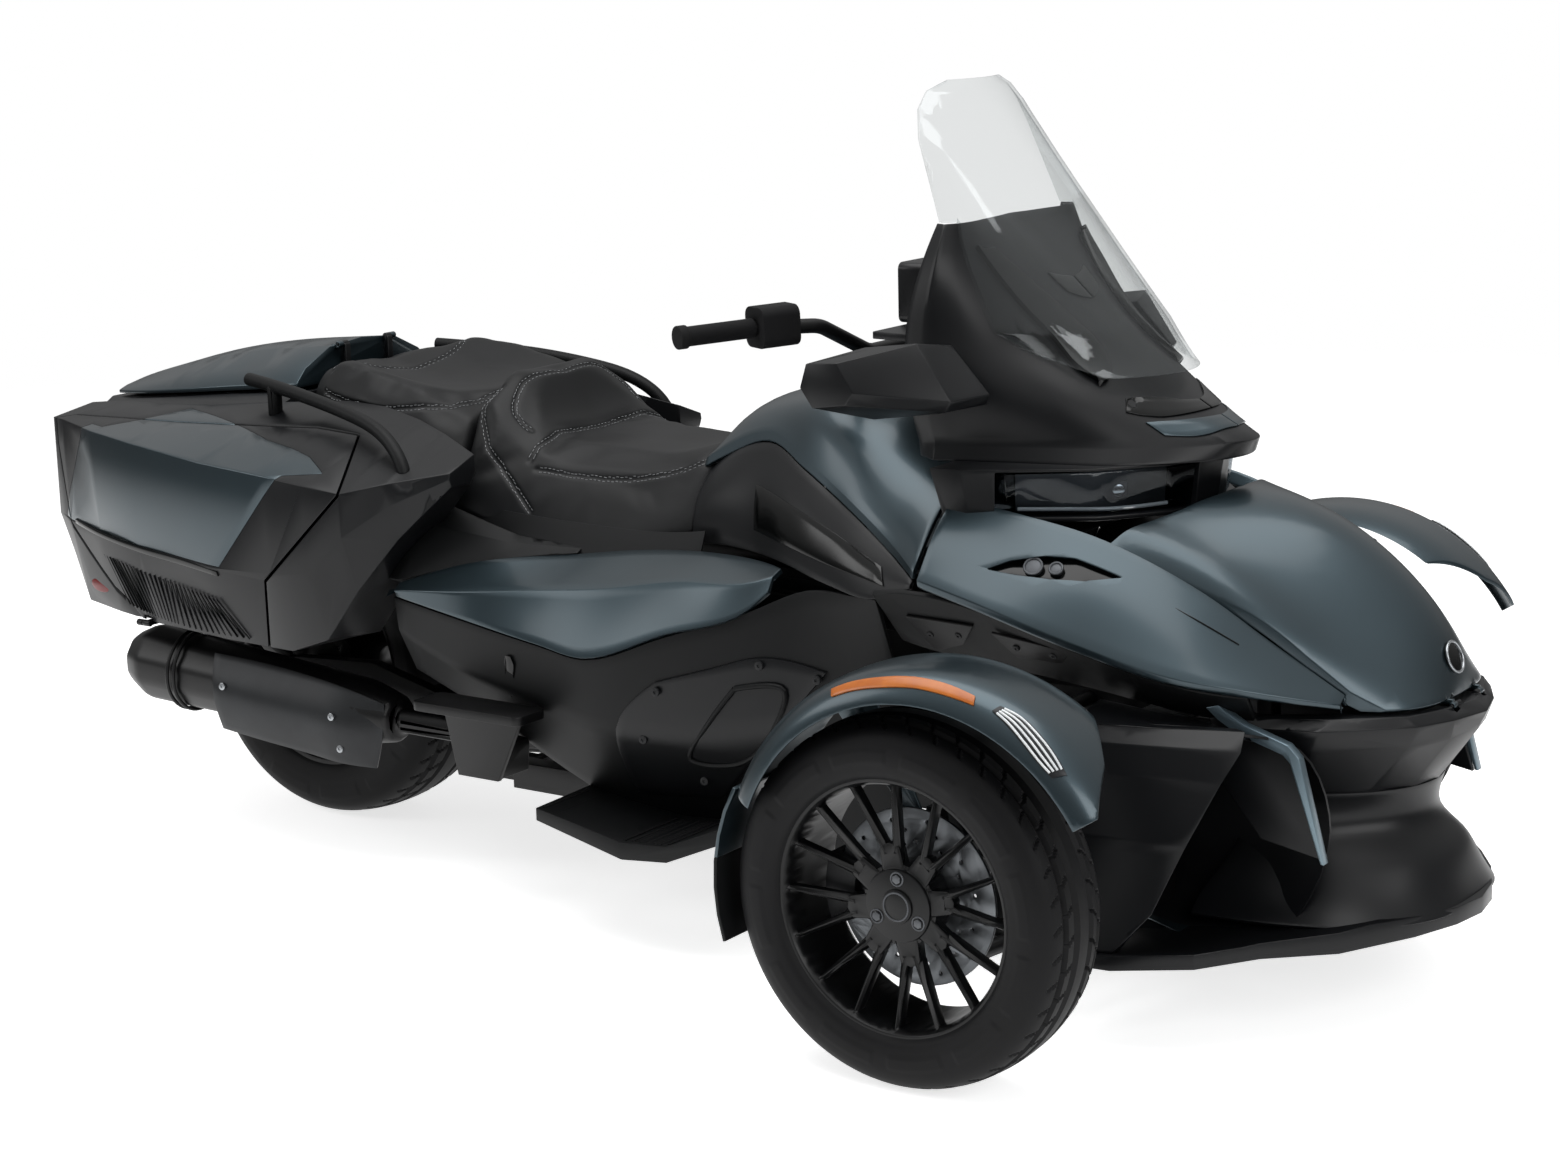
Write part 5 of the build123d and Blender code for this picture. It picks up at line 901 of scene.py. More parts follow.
# Round sensors in the slot: a place on its tray and a radius each, and how far they stand off it.
SENSORS, SENSOR_HEIGHT = ((822, -334, 712, 15), (858, -328, 712, 11)), 7
PANEL_SEAM = [(955, -301, 702), (1013, -291, 674), (1074, -278, 644), (1130, -259, 611)]
BRACKETS = {"front": [(606, -354, 620), (735, -366, 620), (700, -336, 582), (640, -316, 560)],
            "mid": [(770, -370, 615), (905, -368, 600), (880, -345, 575), (800, -342, 574)]}
BRACKET_OUT, BRACKET_WALL = Vector((-0.06, -0.77, -0.63)), 5
# Outlines of a duct's wall from the mouth at the nose back to the radiator.
DUCT_OUTLINES = [
    [(1176, -338, 496), (1232, -262, 462), (1262, -215, 330), (1205, -250, 172), (1010, -420, 152),
     (1064, -412, 225), (1112, -404, 333), (1158, -380, 430)],
    [(1080, -370, 490), (1110, -240, 470), (1120, -200, 330), (1080, -215, 190), (980, -405, 170),
     (1000, -415, 225), (1010, -412, 333), (1020, -400, 430)],
    [(985, -385, 478), (985, -215, 478), (985, -195, 330), (985, -195, 190), (975, -400, 182),
     (980, -405, 235), (983, -405, 333), (985, -400, 430)],
]
# Sills in body paint at the foot of each duct: partly the sill's own finish, partly a painted reflection
# of the floor that shows there.
DUCT_SILL_AND_REFLECTION = [(1062, -110, 160), (1180, -170, 158), (1205, -262, 158), (1058, -300, 160), (976, -262, 163),
             (936, -130, 163)]
# The fan: its middle, hub and rim radius, the count of its arms and how far they lean back and round.
FAN_AT, FAN_HUB_R, FAN_RIM_R, FAN_ARMS, FAN_BACK, FAN_SWEEP = (1010, -300, 330), 30, 98, 7, 4, 0.5
FAN_BOARD = [(996, -400, 180), (996, -200, 180), (996, -200, 480), (996, -400, 480)]


def make_badge():
    """A bare disc with a plain ring on the hood."""
    place, normal = lie_on("hood_skin", BADGE_AT, (-1, 0, 0))
    root, top = place - normal * BADGE_ROOT, place + normal * BADGE_HEIGHT
    finish_piece(barrel(root, top, BADGE_R, 64, 1.2), "badge_disc", "hood", "gloss_abs")
    finish_piece(hoop(top, normal, BADGE_R - 1, 2.2), "badge_ring", "hood", "zinc")


def make_sensors():
    """The tray and the round sensors in each front panel's slot, and the seam that runs on from it."""
    tray = [Vector(p) - SLOT_OUT * TRAY_BACK for p in SLOT_EDGE]
    grown = [p + (p - SLOT_MIDDLE) * TRAY_GROWTH for p in tray]
    pair(plate(grown, -SLOT_OUT * 3, 0.5), "slot_tray", "gloss_abs")
    buttons = []
    for x, y, z, radius in SENSORS:
        at = lie_on("slot_tray", (x, y, z), -SLOT_OUT)[0]
        top = at + SLOT_OUT * SENSOR_HEIGHT
        buttons += [barrel(at, top, radius, 40, 2), hoop(top, SLOT_OUT, radius - 1, 2)]
    pair(joined(buttons), "slot_sensors", "alloy")
    pair(tube(PANEL_SEAM, 1.1), "panel_seam", "gloss_abs")


def make_brackets():
    """Bracket plates with two screws each under the front panels."""
    for name, shape in BRACKETS.items():
        corners = [Vector(p) for p in shape]
        base = plate([p + BRACKET_OUT for p in corners], BRACKET_OUT * BRACKET_WALL, 1)
        pair(base, name + "_bracket", "steel_black")
        centre, ends = sum(corners, Vector()) / 4, ((0, 3), (1, 2))
        places = [((corners[i] + corners[k]) / 2).lerp(centre, 0.4) for i, k in ends]
        heads = screws([at + BRACKET_OUT * BRACKET_WALL for at in places], BRACKET_OUT, 6, 3)
        pair(heads, name + "_bracket_screws", "alloy_dark")


def make_ducts():
    """Air ducts from the nose's mouths to the radiators, their sills in body paint and the fans' shrouds;
    the sills' pale paint stands partly for a painted reflection of the floor.
    """
    duct = surface(DUCT_OUTLINES, (6, 5), closed=True)
    modify(duct, "SOLIDIFY", thickness=4 * MM, offset=0)
    pair(duct, "air_ducts", "satin_abs", 40)
    # Pale body paint on the sills: partly their own finish, partly a painted reflection of the floor.
    pair(plate(DUCT_SILL_AND_REFLECTION, (0, 0, -4), 1), "duct_sills_and_reflection", "paint")
    x, y, z = FAN_AT
    shroud = [hoop(FAN_AT, (1, 0, 0), FAN_RIM_R, 8), hoop(FAN_AT, (1, 0, 0), FAN_HUB_R, 6)]
    for near, far in zip(circle(FAN_ARMS), circle(FAN_ARMS, FAN_SWEEP / math.tau)):
        root = (x, y + FAN_HUB_R * near[0], z + FAN_HUB_R * near[1])
        tip = (x - FAN_BACK, y + FAN_RIM_R * far[0], z + FAN_RIM_R * far[1])
        shroud.append(barrel(root, tip, 5, 8, 0))
    shroud.append(plate(FAN_BOARD, (-4, 0, 0), 1))
    pair(joined(shroud), "fan_shrouds", "steel_black")


# Half rows of the dark tray behind the hood.
COWL_ROWS = [[(700, 0, 742), (700, 150, 742), (700, 300, 742)],
             [(820, 0, 738), (820, 140, 738), (820, 280, 738)]]


def make_cowl():
    """A dark tray closes the space between the hood and the headlights."""
    decal("cowl_tray", [both(row) for row in COWL_ROWS], "satin_abs", 3, (0, 0, 1), False)


# The two projectors of a headlight, the way they look and the way across them.
PROJECTORS = ((832, -182, 806), (866, -150, 806))
LAMP_OUT, LAMP_ACROSS = Vector((0.66, -0.75, 0)), Vector((0.75, 0.66, 0))
# A projector's block from corner to corner and in depth, and its lens: from, to and radius.
PROJECTOR_CORNERS, PROJECTOR_DEPTH = ((-15, -14), (15, -14), (15, 14), (-15, 14)), 9
EYE_FROM, EYE_TO, EYE_R = 8, 12, 10
LIGHT_GUIDE = [(752, -261, 783), (812, -222, 782), (868, -184, 781), (924, -96, 781)]
LAMP_BACK = [[(742, -250, 778), (860, -168, 778), (905, -70, 778)],
             [(744, -254, 836), (858, -174, 838), (912, -76, 838)]]
AMBER_ROWS = [[(734, -757, 603), (763, -756, 616), (815, -756, 630), (872, -754, 637), (921, -754, 634),
               (972, -756, 622)],
              [(740, -767, 595), (771, -767, 607), (822, -768, 619), (880, -767, 625), (929, -767, 621),
               (975, -766, 612)]]
FENDER_LAMP_ROWS = [
    [(1009, -752, 612), (1037, -747, 601), (1071, -750, 580), (1099, -755, 555), (1119, -760, 531)],
    [(1002, -762, 607), (1024, -765, 593), (1054, -770, 569), (1080, -772, 545), (1102, -771, 527)],
]
# The light bars: places across the fender's lamp as shares of its width, how far the ends draw in,
# how high the bars stand and their radius.
LIGHT_BARS, BAR_INSET, BAR_LIFT, BAR_R = (0.14, 0.38, 0.62, 0.86), 0.3, 3.5, 1.7


def make_headlights():
    """Projectors, light guides and bright back walls in the headlights."""
    modules, eyes = [], []
    for at in map(Vector, PROJECTORS):
        corners = [at + LAMP_ACROSS * a + Vector((0, 0, b)) for a, b in PROJECTOR_CORNERS]
        modules.append(plate(corners, LAMP_OUT * PROJECTOR_DEPTH, 2.5, 3))
        eyes.append(barrel(at + LAMP_OUT * EYE_FROM, at + LAMP_OUT * EYE_TO, EYE_R, 40, 2))
    pair(joined(modules), "projector_modules", "alloy")
    pair(joined(eyes), "projector_lenses", "reflector")
    pair(tube(LIGHT_GUIDE, 3.2), "light_guides", "lamp_white")
    decal("lamp_back_walls", LAMP_BACK, "alloy", 2, (1, -1, 0), steps=(2, 4), edge=0)


def make_fender_lamps():
    """An amber reflector and a lamp with lengthwise light bars on each front fender."""
    for side, word in SIDES:
        body, fender = "knuckle_" + word, "fender_skin_" + word
        rows = on_side(AMBER_ROWS, side)
        decal("amber_reflector_" + word, rows, "amber", 2.2, (0, side, 1), False, body, on=fender)
        rows = on_side(FENDER_LAMP_ROWS, side)
        decal("fender_lamp_" + word, rows, "shield", 2.0, (0.4, side, 1), False, body, on=fender)
        guides = []
        for share in LIGHT_BARS:
            line = [Vector(a).lerp(Vector(b), share) for a, b in zip(*rows)]
            ends = line[0].lerp(line[1], BAR_INSET), line[-1].lerp(line[-2], BAR_INSET)
            line = [lie_on(fender, place, (0, -side, -1), BAR_LIFT)[0]
                    for place in (ends[0], *line[1:-1], ends[1])]
            guides.append(tube(line, BAR_R, 8, 8))
        finish_piece(joined(guides), "fender_lamp_bars_" + word, body, "lamp_white")


# Mouldings on the upper fairing: name, finish, wall, the way out and the rows.
FAIRING_MOULDINGS = (
    ("fairing_fins", "gloss_abs", 14, (0.7, -0.3, 0.6),
     [[(636, -143, 1167), (689, -110, 1111), (748, -88, 1056), (800, -85, 1011), (828, -105, 974)],
      [(640, -162, 1172), (700, -150, 1112), (758, -132, 1052), (808, -128, 998), (832, -122, 968)],
      [(623, -168, 1173), (678, -156, 1104), (738, -138, 1037), (798, -138, 980), (822, -128, 964)]]),
    ("screen_slot", "gloss_abs", 2, (0.7, 0, 0.7),
     [[(690, -57, 1124), (700, -28, 1117), (704, -3, 1113)],
      [(722, -50, 1096), (735, -25, 1085), (740, -3, 1080)]]),
    ("air_slot", "gloss_abs", 2, (0.6, -0.2, 0.7),
     [[(861, -116, 941), (897, -68, 939), (925, -28, 935), (932, -2, 934)],
      [(869, -130, 921), (912, -97, 913), (944, -43, 916), (950, -2, 916)]]),
    ("brow_insert", "paint", 2, (0.6, -0.2, 0.7),
     [[(897, -118, 906), (942, -70, 908), (962, -30, 908), (968, -1, 908)],
      [(927, -110, 887), (979, -62, 887), (993, -25, 893), (998, -1, 894)]]),
)
KNEE_INSERT = [[(225, -232, 778), (330, -276, 758), (450, -312, 724), (556, -352, 692)],
               [(240, -247, 700), (335, -290, 690), (440, -324, 676), (572, -372, 664)]]


def make_fairing_details():
    """Fins, slots and the painted insert on the upper fairing, and the knee panels' inserts."""
    for name, material, wall, way, rows in FAIRING_MOULDINGS:
        decal(name, rows, material, wall, way, steps=(3, 6), on="upper_fairing_skin")
    decal("knee_inserts", KNEE_INSERT, "gloss_abs", 1.5, (0, -1, 0.3), steps=(4, 6),
          on="knee_panels_skin")


COVER_OUT = (0.12, -0.99, 0)
SERVICE_COVER = [[(131, -385, 458), (230, -367, 488), (321, -351, 514), (439, -336, 500)],
                 [(59, -388, 391), (160, -376, 392), (270, -360, 395), (365, -345, 415)],
                 [(34, -313, 240), (95, -311, 245), (150, -309, 250), (211, -308, 254)]]
COVER_FRAME = [(277, -364, 460), (366, -349, 464), (339, -348, 390), (262, -338, 324), (176, -352, 324),
               (225, -368, 395), (277, -364, 460)]
COVER_SCREWS = [(136, -390, 443), (323, -357, 503), (425, -342, 488), (98, -378, 354), (187, -330, 283)]
COVER_SLOT = [(-181, -394, 455), (-176, -397, 470), (-164, -398, 470), (-159, -396, 455),
              (-176, -374, 396), (-186, -372, 390), (-198, -371, 394)]
# Ribs on the foot boards and on the saddlebag doors: count and radius, and the doors' lift.
BOARD_RIBS, BOARD_RIB_R, DOOR_RIBS, DOOR_RIB_R, DOOR_RIB_LIFT = 25, 2.2, 46, 1.6, 0.6
BOARD_RIB_ENDS = ([(-75, -312, 225), (110, -308, 201), (200, -306, 207), (310, -304, 250)],
                  [(-75, -436, 225), (110, -452, 201), (200, -452, 207), (310, -448, 250)])
UNDER_SEAT = [
    [(-470, -262, 700), (-330, -256, 690), (-120, -240, 676), (60, -232, 676), (130, -228, 684)],
    [(-470, -300, 560), (-330, -300, 560), (-120, -300, 560), (60, -290, 560), (130, -280, 560)],
]
# Lines on a saddlebag door: the trim strip's edges, then the ends of the ribs below it.
DOOR_LINES = [
    [(-1238, -376, 607), (-1134, -415, 600), (-986, -449, 588), (-874, -462, 580), (-778, -470, 569)],
    [(-1238, -375, 598), (-1134, -415, 590), (-986, -448, 578), (-874, -460, 570), (-776, -468, 560)],
    [(-1225, -364, 560), (-1098, -414, 548), (-932, -443, 530), (-797, -456, 512)],
    [(-1205, -346, 470), (-1050, -402, 455), (-941, -415, 443), (-742, -434, 441)],
]
# The door's reflector: its middle, half its length and height, and how much it leans with the door.
REFLECTOR_AT, REFLECTOR_HALF, REFLECTOR_LEAN = (-1195, -362, 480), (34, 13), 0.28
HEAT_SHIELD = [
    [(-901, -366, 382), (-802, -356, 375), (-706, -350, 365), (-604, -347, 350), (-517, -333, 326)],
    [(-884, -393, 320), (-788, -385, 307), (-690, -377, 295), (-594, -369, 281), (-520, -340, 266)],
    [(-884, -372, 244), (-790, -366, 232), (-690, -359, 221), (-600, -352, 210), (-540, -336, 206)],
]
SHIELD_SCREWS, SHIELD_OUT = [(-860, -393, 330), (-610, -374, 300), (-600, -366, 240)], (0.1, -0.98, 0.1)
MUFFLER_BANDS, MUFFLER_WAY = [(-985, -326, 332), (-1000, -327, 333)], (-1, -0.06, 0.05)
BAND_R, BAND_THICK = 75, 3.5
# The outlet pipe and its bore: start, end and radius.
OUTLET = ((-1120, -333, 341), (-1138, -334, 342), 30)
OUTLET_BORE = ((-1128, -333, 341), (-1160, -335, 343), 24)


def make_cover_details():
    """Service covers with their frames, screws and slots, and the ribs on the foot boards."""
    decal("service_covers", SERVICE_COVER, "satin_abs", 5, COVER_OUT, steps=(6, 6),
          on="lower_covers_skin")
    pair(tube(COVER_FRAME, 4.5, 6), "cover_frames", "abs")
    pair(screws(COVER_SCREWS, COVER_OUT, 7.5, 3), "cover_screws", "alloy_dark")
    pair(plate(COVER_SLOT, (0, -3, 0.5), 0.8), "cover_slots", "gloss_abs")
    pair(bars(*BOARD_RIB_ENDS, BOARD_RIBS, BOARD_RIB_R), "board_ribs", "rubber")


def make_door_details():
    """A trim strip, a ribbed panel and a reflector on each saddlebag door."""
    x, y, z = REFLECTOR_AT
    for side, word in SIDES:
        body = "saddlebag_door_" + word
        lines = on_side(DOOR_LINES, side)
        decal("trim_strip_" + word, lines[:2], "gloss_abs", 2.5, (0, side, 0), False, body, (2, 6))
        ribs = bars(*lines[2:], DOOR_RIBS, DOOR_RIB_R, (0, DOOR_RIB_LIFT * side, 0))
        finish_piece(ribs, "ribbed_panel_" + word, body, "abs")
        rim = [(REFLECTOR_HALF[0] * along, REFLECTOR_HALF[1] * up) for along, up in circle(16)]
        shape = [(x + u, -side * (y - REFLECTOR_LEAN * u), z + v) for u, v in rim]
        finish_piece(plate(shape, (-1, 5 * side, 0), 1.5), "side_reflector_" + word, body, "red")


def make_muffler_details():
    """The muffler's heat shield with its screws, its bands and its outlet."""
    decal("heat_shield", HEAT_SHIELD, "shield", 4, (0, -1, 0), False, steps=(6, 6))
    finish_piece(screws(SHIELD_SCREWS, SHIELD_OUT, 7, 4), "shield_screws", "chassis", "zinc")
    bands = joined([hoop(place, MUFFLER_WAY, BAND_R, BAND_THICK) for place in MUFFLER_BANDS])
    finish_piece(bands, "muffler_bands", "chassis", "steel_black")
    outlet = cut(barrel(*OUTLET, 48, 2), barrel(*OUTLET_BORE, 48, 0))
    finish_piece(outlet, "muffler_outlet", "chassis", "steel_black")


def make_seat_walls():
    """Walls below the seats that close the sides of the frame."""
    decal("under_seat_walls", UNDER_SEAT, "abs", 3, (0, -1, 0), steps=(2, 4))


# ---- Seats ----

# Sewn lines on the right-hand side of each seat; one that ends at y = 0 runs on to its own mirror image.
DRIVER_SEAMS = [
    [(-385, -150, 905), (-388, -196, 858), (-352, -222, 802), (-300, -234, 752), (-235, -247, 690)],
    [(-243, -218, 762), (-154, -205, 758), (-54, -193, 758), (29, -165, 775), (88, -138, 798)],
    [(-262, -212, 775), (-266, -120, 802), (-266, 0, 801)],
    [(-290, -165, 815), (-318, -168, 850), (-338, -130, 890), (-343, 0, 900)],
]
PASSENGER_SEAMS = [
    [(-742, -212, 915), (-712, -150, 898), (-700, 0, 877)],
    [(-742, -232, 868), (-650, -246, 850), (-560, -243, 845), (-470, -212, 858), (-432, -150, 868),
     (-428, 0, 870)],
]
# A seam's depth and half width in millimetres, how many half widths it reaches, and steps between points.
SEAM_DEPTH, SEAM_WIDTH, SEAM_REACH, SEAM_STEPS = 3.5, 5.0, 2.5, 24
STITCH_PITCH, STITCH_LENGTH, STITCH_OFFSET, STITCH_RADIUS, STITCH_LIFT = 6.5, 4.6, 5.0, 0.55, 0.2
# How the cover grows from the block, in millimetres: the mesh's pitch, how far it first shrinks, how far
# it may then swell.
SEAT_VOXEL, SEAT_SHRINK, SEAT_SWELL = 6, 5, 8
SEAT_SMOOTHING = {"factor": 0.6, "iterations": 14}
CLOTH_FRAMES, CLOTH_QUALITY, CLOTH_MASS, CLOTH_BENDING, CLOTH_PRESSURE = 20, 3, 0.3, 8.0, 4.0
# Below these heights the seats' bases don't swell, and the angle from which their shading breaks.
DRIVER_BASE_Z, PASSENGER_BASE_Z, SEAT_SHADE = 675, 715, 60


def puff(obj, held_below):
    """Blows a cushion up as cloth, holds its base and caps how far any point may move."""
    rest = [vertex.co.copy() for vertex in obj.data.vertices]
    held = obj.vertex_groups.new(name="held")
    held.add([i for i, place in enumerate(rest) if place.z < held_below * MM], 1.0, "REPLACE")
    take(obj)
    cloth = obj.modifiers.new("Cloth", "CLOTH")
    settings = cloth.settings
    settings.quality, settings.mass, settings.bending_stiffness = CLOTH_QUALITY, CLOTH_MASS, CLOTH_BENDING
    cloth.collision_settings.use_collision = False
    settings.use_pressure, settings.uniform_pressure_force = True, CLOTH_PRESSURE
    settings.effector_weights.gravity = 0
    settings.vertex_group_mass = "held"
    for step in range(1, CLOTH_FRAMES + 1):
        bpy.context.scene.frame_set(step)
    bpy.ops.object.modifier_apply(modifier=cloth.name)
    cap = SEAT_SWELL * MM
    for vertex, place in zip(obj.data.vertices, rest):
        move = vertex.co - place
        if move.length > cap:
            vertex.co = place + move * (cap / move.length)
    bpy.context.scene.frame_set(1)
    obj.vertex_groups.clear()


def whole_seams(seams):
    """Every sewn line of both sides as closely spaced points, in metres."""
    def mirrored(points):
        return [Vector((p.x, -p.y, p.z)) for p in points]
    lines = []
    for seam in seams:
        points = [Vector(p) * MM for p in seam]
        if seam[-1][1] == 0:
            lines.append(flow(points + mirrored(reversed(points[:-1])), SEAM_STEPS))
        else:
            lines.append(flow(points, SEAM_STEPS))
            lines.append(mirrored(lines[-1]))
    return lines


def sink_seams(obj, lines):
    """Pulls the cover in along its sewn lines."""
    tree = KDTree(sum(len(line) for line in lines))
    for index, place in enumerate(place for line in lines for place in line):
        tree.insert(place, index)
    tree.balance()
    for vertex in obj.data.vertices:
        gap = tree.find(vertex.co)[2] / (SEAM_WIDTH * MM)
        if gap < SEAM_REACH:
            vertex.co -= vertex.normal * SEAM_DEPTH * MM * math.exp(-gap * gap)


def stitches(obj, lines, name, body):
    """Two rows of pale thread along every sewn line."""
    skin = BVHTree.FromObject(obj, bpy.context.evaluated_depsgraph_get())
    curve = round_curve(name, STITCH_RADIUS, 1)
    for line in lines:
        walked = 0.0
        for a, b in zip(line, line[1:]):
            walked += (b - a).length
            if walked < STITCH_PITCH * MM:
                continue
            walked = 0.0
            along = (b - a).normalized() * STITCH_LENGTH * MM / 2
            where, normal = skin.find_nearest(b)[:2]
            aside = normal.cross(along).normalized() * STITCH_OFFSET * MM
            for side in (-1, 1):
                ends = []
                for end in (-1, 1):
                    place, up = skin.find_nearest(where + aside * side + along * end)[:2]
                    ends.append(place + up * STITCH_LIFT * MM)
                spline = curve.splines.new("POLY")
                spline.points.add(1)
                spline.points[0].co, spline.points[1].co = (*ends[0], 1), (*ends[1], 1)
    thread = bpy.data.objects.new(name, curve)
    bpy.context.scene.collection.objects.link(thread)
    return finish_piece(thread, name, body, "thread", 40)


def make_seat(cad, seams, held_below):
    """A padded seat with sewn lines in place of its plain CAD block."""
    pad = weld(cad_copy(cad))
    modify(pad, "REMESH", mode="VOXEL", voxel_size=SEAT_VOXEL * MM)
    modify(pad, "SMOOTH", **SEAT_SMOOTHING)
    modify(pad, "DISPLACE", strength=-SEAT_SHRINK * MM, mid_level=0.0)
    puff(pad, held_below)
    modify(pad, "SMOOTH", **SEAT_SMOOTHING)
    modify(pad, "SUBSURF", levels=1)
    skin = BVHTree.FromObject(pad, bpy.context.evaluated_depsgraph_get())
    lines = [[skin.find_nearest(place)[0] for place in line] for line in whole_seams(seams)]
    sink_seams(pad, lines)
    finish_piece(pad, cad + "_cover", BODY_OF[cad], "vinyl", SEAT_SHADE, (cad,))
    stitches(pad, lines, cad + "_stitching", BODY_OF[cad])


def make_seats():
    """The driver's and the passenger's seats."""
    make_seat("driver_seat", DRIVER_SEAMS, DRIVER_BASE_Z)
    make_seat("passenger_seat", PASSENGER_SEAMS, PASSENGER_BASE_Z)


# ---- Stage ----


def softbox(name, place, target, width, height, power):
    """A rectangular studio lamp at a place, pointing at a target."""
    deselect()
    turn = (Vector(target) - Vector(place)).to_track_quat("-Z", "Y").to_euler()
    bpy.ops.object.light_add(type="AREA", location=place, rotation=turn)
    lamp = bpy.context.object
    lamp.name = lamp.data.name = name
    lamp.data.shape = "RECTANGLE"
    lamp.data.size, lamp.data.size_y, lamp.data.energy = width, height, power
    return lamp


# The floor: its size and fall below the tyres, where it fades into the room, all in metres, and its glow.
FLOOR_SIZE, FLOOR_FALL, FADE_FROM, FADE_TO, FLOOR_GLOW = 60, 0.0005, 3.0, 7.0, 0.72
# Studio lamps: name, place, target, width, height and power.
SOFTBOXES = (
    ("overhead_softbox", (0.2, -0.6, 4.2), (0, 0, 0.4), 4.5, 3.2, 150),
    ("front_softbox", (4.6, -2.4, 2.6), (0.3, 0, 0.5), 2.4, 2.0, 75),
    ("rear_softbox", (-3.8, -3.6, 2.8), (-0.4, 0, 0.6), 2.4, 2.0, 55),
)
# How much the room gains where it is mirrored, and its brightness from below the horizon to overhead.
MIRROR_GAIN = 0.4
SKY_CLIMB = {"From Min": -0.1, "From Max": 0.95, "To Min": 0.05, "To Max": 1.3}


def stage_floor():
    """A seamless pale floor: white to the eye, with the vehicle's shadow kept."""
    deselect()
    bpy.ops.mesh.primitive_plane_add(size=FLOOR_SIZE, location=(0, 0, -FLOOR_FALL))
    floor = bpy.context.object
    floor.name = floor.data.name = "studio_floor"
    made, tree, place, out = new_material("Matt_studio_paper")
    ray = node(tree, "LightPath")
    mirrored = node(tree, "Math", {0: (ray, "Is Glossy Ray"), 1: (ray, "Is Transmission Ray")},
                    operation="MAXIMUM")
    direct = node(tree, "Math", {0: (ray, "Is Camera Ray"), 1: (mirrored, "Value")}, operation="MAXIMUM")
    paper = node(tree, "Mix", {"Factor": (direct, "Value"), "A": linear("#D8D8D8"),
                               "B": linear("#FFFFFF")}, data_type="RGBA")
    shader = node(tree, "BsdfDiffuse", {"Color": (paper, "Result"), "Roughness": 0.0})
    lift = node(tree, "Math", {0: (direct, "Value"), 1: FLOOR_GLOW}, operation="MULTIPLY")
    glow = node(tree, "Emission", {"Color": linear("#FFFFFF"), "Strength": (lift, "Value")})
    # The glow adds to what the lamps give the paper, so shadows stay soft and pale.
    bright = node(tree, "AddShader", {0: (shader, "BSDF"), 1: (glow, "Emission")})
    # Past the vehicle's surroundings the paper fades into the room, which leaves no edge.
    far = node(tree, "VectorMath", {"Vector": place}, operation="LENGTH")
    fade = node(tree, "MapRange", {"Value": (far, "Value"), "From Min": FADE_FROM, "From Max": FADE_TO})
    open_air = node(tree, "BsdfTransparent")
    shown = node(tree, "MixShader", {0: (fade, "Result"), 1: (bright, "Shader"), 2: (open_air, "BSDF")})
    tree.links.new(shown.outputs["Shader"], out.inputs["Surface"])
    floor.data.materials.append(made)


def stage_world(strength):
    """A white room, brighter overhead: dim as a light, brighter where it is mirrored, full white where it
    is seen directly or through clear sheets.
    """
    world = bpy.data.worlds.new("White_room")
    bpy.context.scene.world = world
    world.use_nodes = True
    tree = world.node_tree
    tree.nodes.clear()
    ray = node(tree, "LightPath")
    seen = node(tree, "Math", {0: (ray, "Is Camera Ray"), 1: (ray, "Is Transmission Ray")},
                operation="MAXIMUM")
    way = node(tree, "TexCoord")
    up = node(tree, "SeparateXYZ", {"Vector": (way, "Generated")})
    mirrored = node(tree, "Math", {0: (ray, "Is Glossy Ray"), 1: MIRROR_GAIN}, operation="MULTIPLY")
    gain = node(tree, "Math", {0: (mirrored, "Value"), 1: strength}, operation="ADD")
    climb = node(tree, "MapRange", {"Value": (up, "Z"), **SKY_CLIMB})
    rise = node(tree, "Math", {0: (climb, "Result"), 1: (gain, "Value")}, operation="MULTIPLY")
    level = node(tree, "MapRange", {"Value": (seen, "Value"), "To Min": (rise, "Value"), "To Max": 1.0})
    sky = node(tree, "Background", {"Color": linear("#FFFFFF"), "Strength": (level, "Result")})
    out = node(tree, "OutputWorld")
    tree.links.new(sky.outputs["Background"], out.inputs["Surface"])


def stage_camera(settings):
    """A camera at head height off the front right corner."""
    yaw, pitch, roll = settings.camera_yaw, settings.camera_pitch, settings.camera_roll
    ahead = Vector((-math.sin(yaw) * math.cos(pitch), math.cos(yaw) * math.cos(pitch), -math.sin(pitch)))
    level = ahead.cross(Vector((0, 0, 1))).normalized()
    upright = level.cross(ahead)
    right = math.cos(roll) * level + math.sin(roll) * upright
    above = -math.sin(roll) * level + math.cos(roll) * upright
    deselect()
    bpy.ops.object.camera_add(location=settings.camera_place)
    camera = bpy.context.object
    camera.name = "studio_camera"
    turn = Matrix((right, above, -ahead)).transposed()
    camera.rotation_euler = turn.to_euler()
    camera.data.lens, camera.data.sensor_width = settings.camera_lens, 36
    bpy.context.scene.camera = camera


# ---- Settings, operators and panel ----


def angle_setting(name, description, degrees):
    """A setting that holds an angle."""
    return bpy.props.FloatProperty(name=name, description=description, default=math.radians(degrees),
                                   subtype="ANGLE", unit="ROTATION")


class TrikeColours(bpy.types.PropertyGroup):
    """Finishes that a user may want to change."""

    paint: bpy.props.FloatVectorProperty(
        name="Body paint", description="Metallic body colour", subtype="COLOR_GAMMA", size=3,
        default=srgb("#2F3C42"), min=0, max=1)


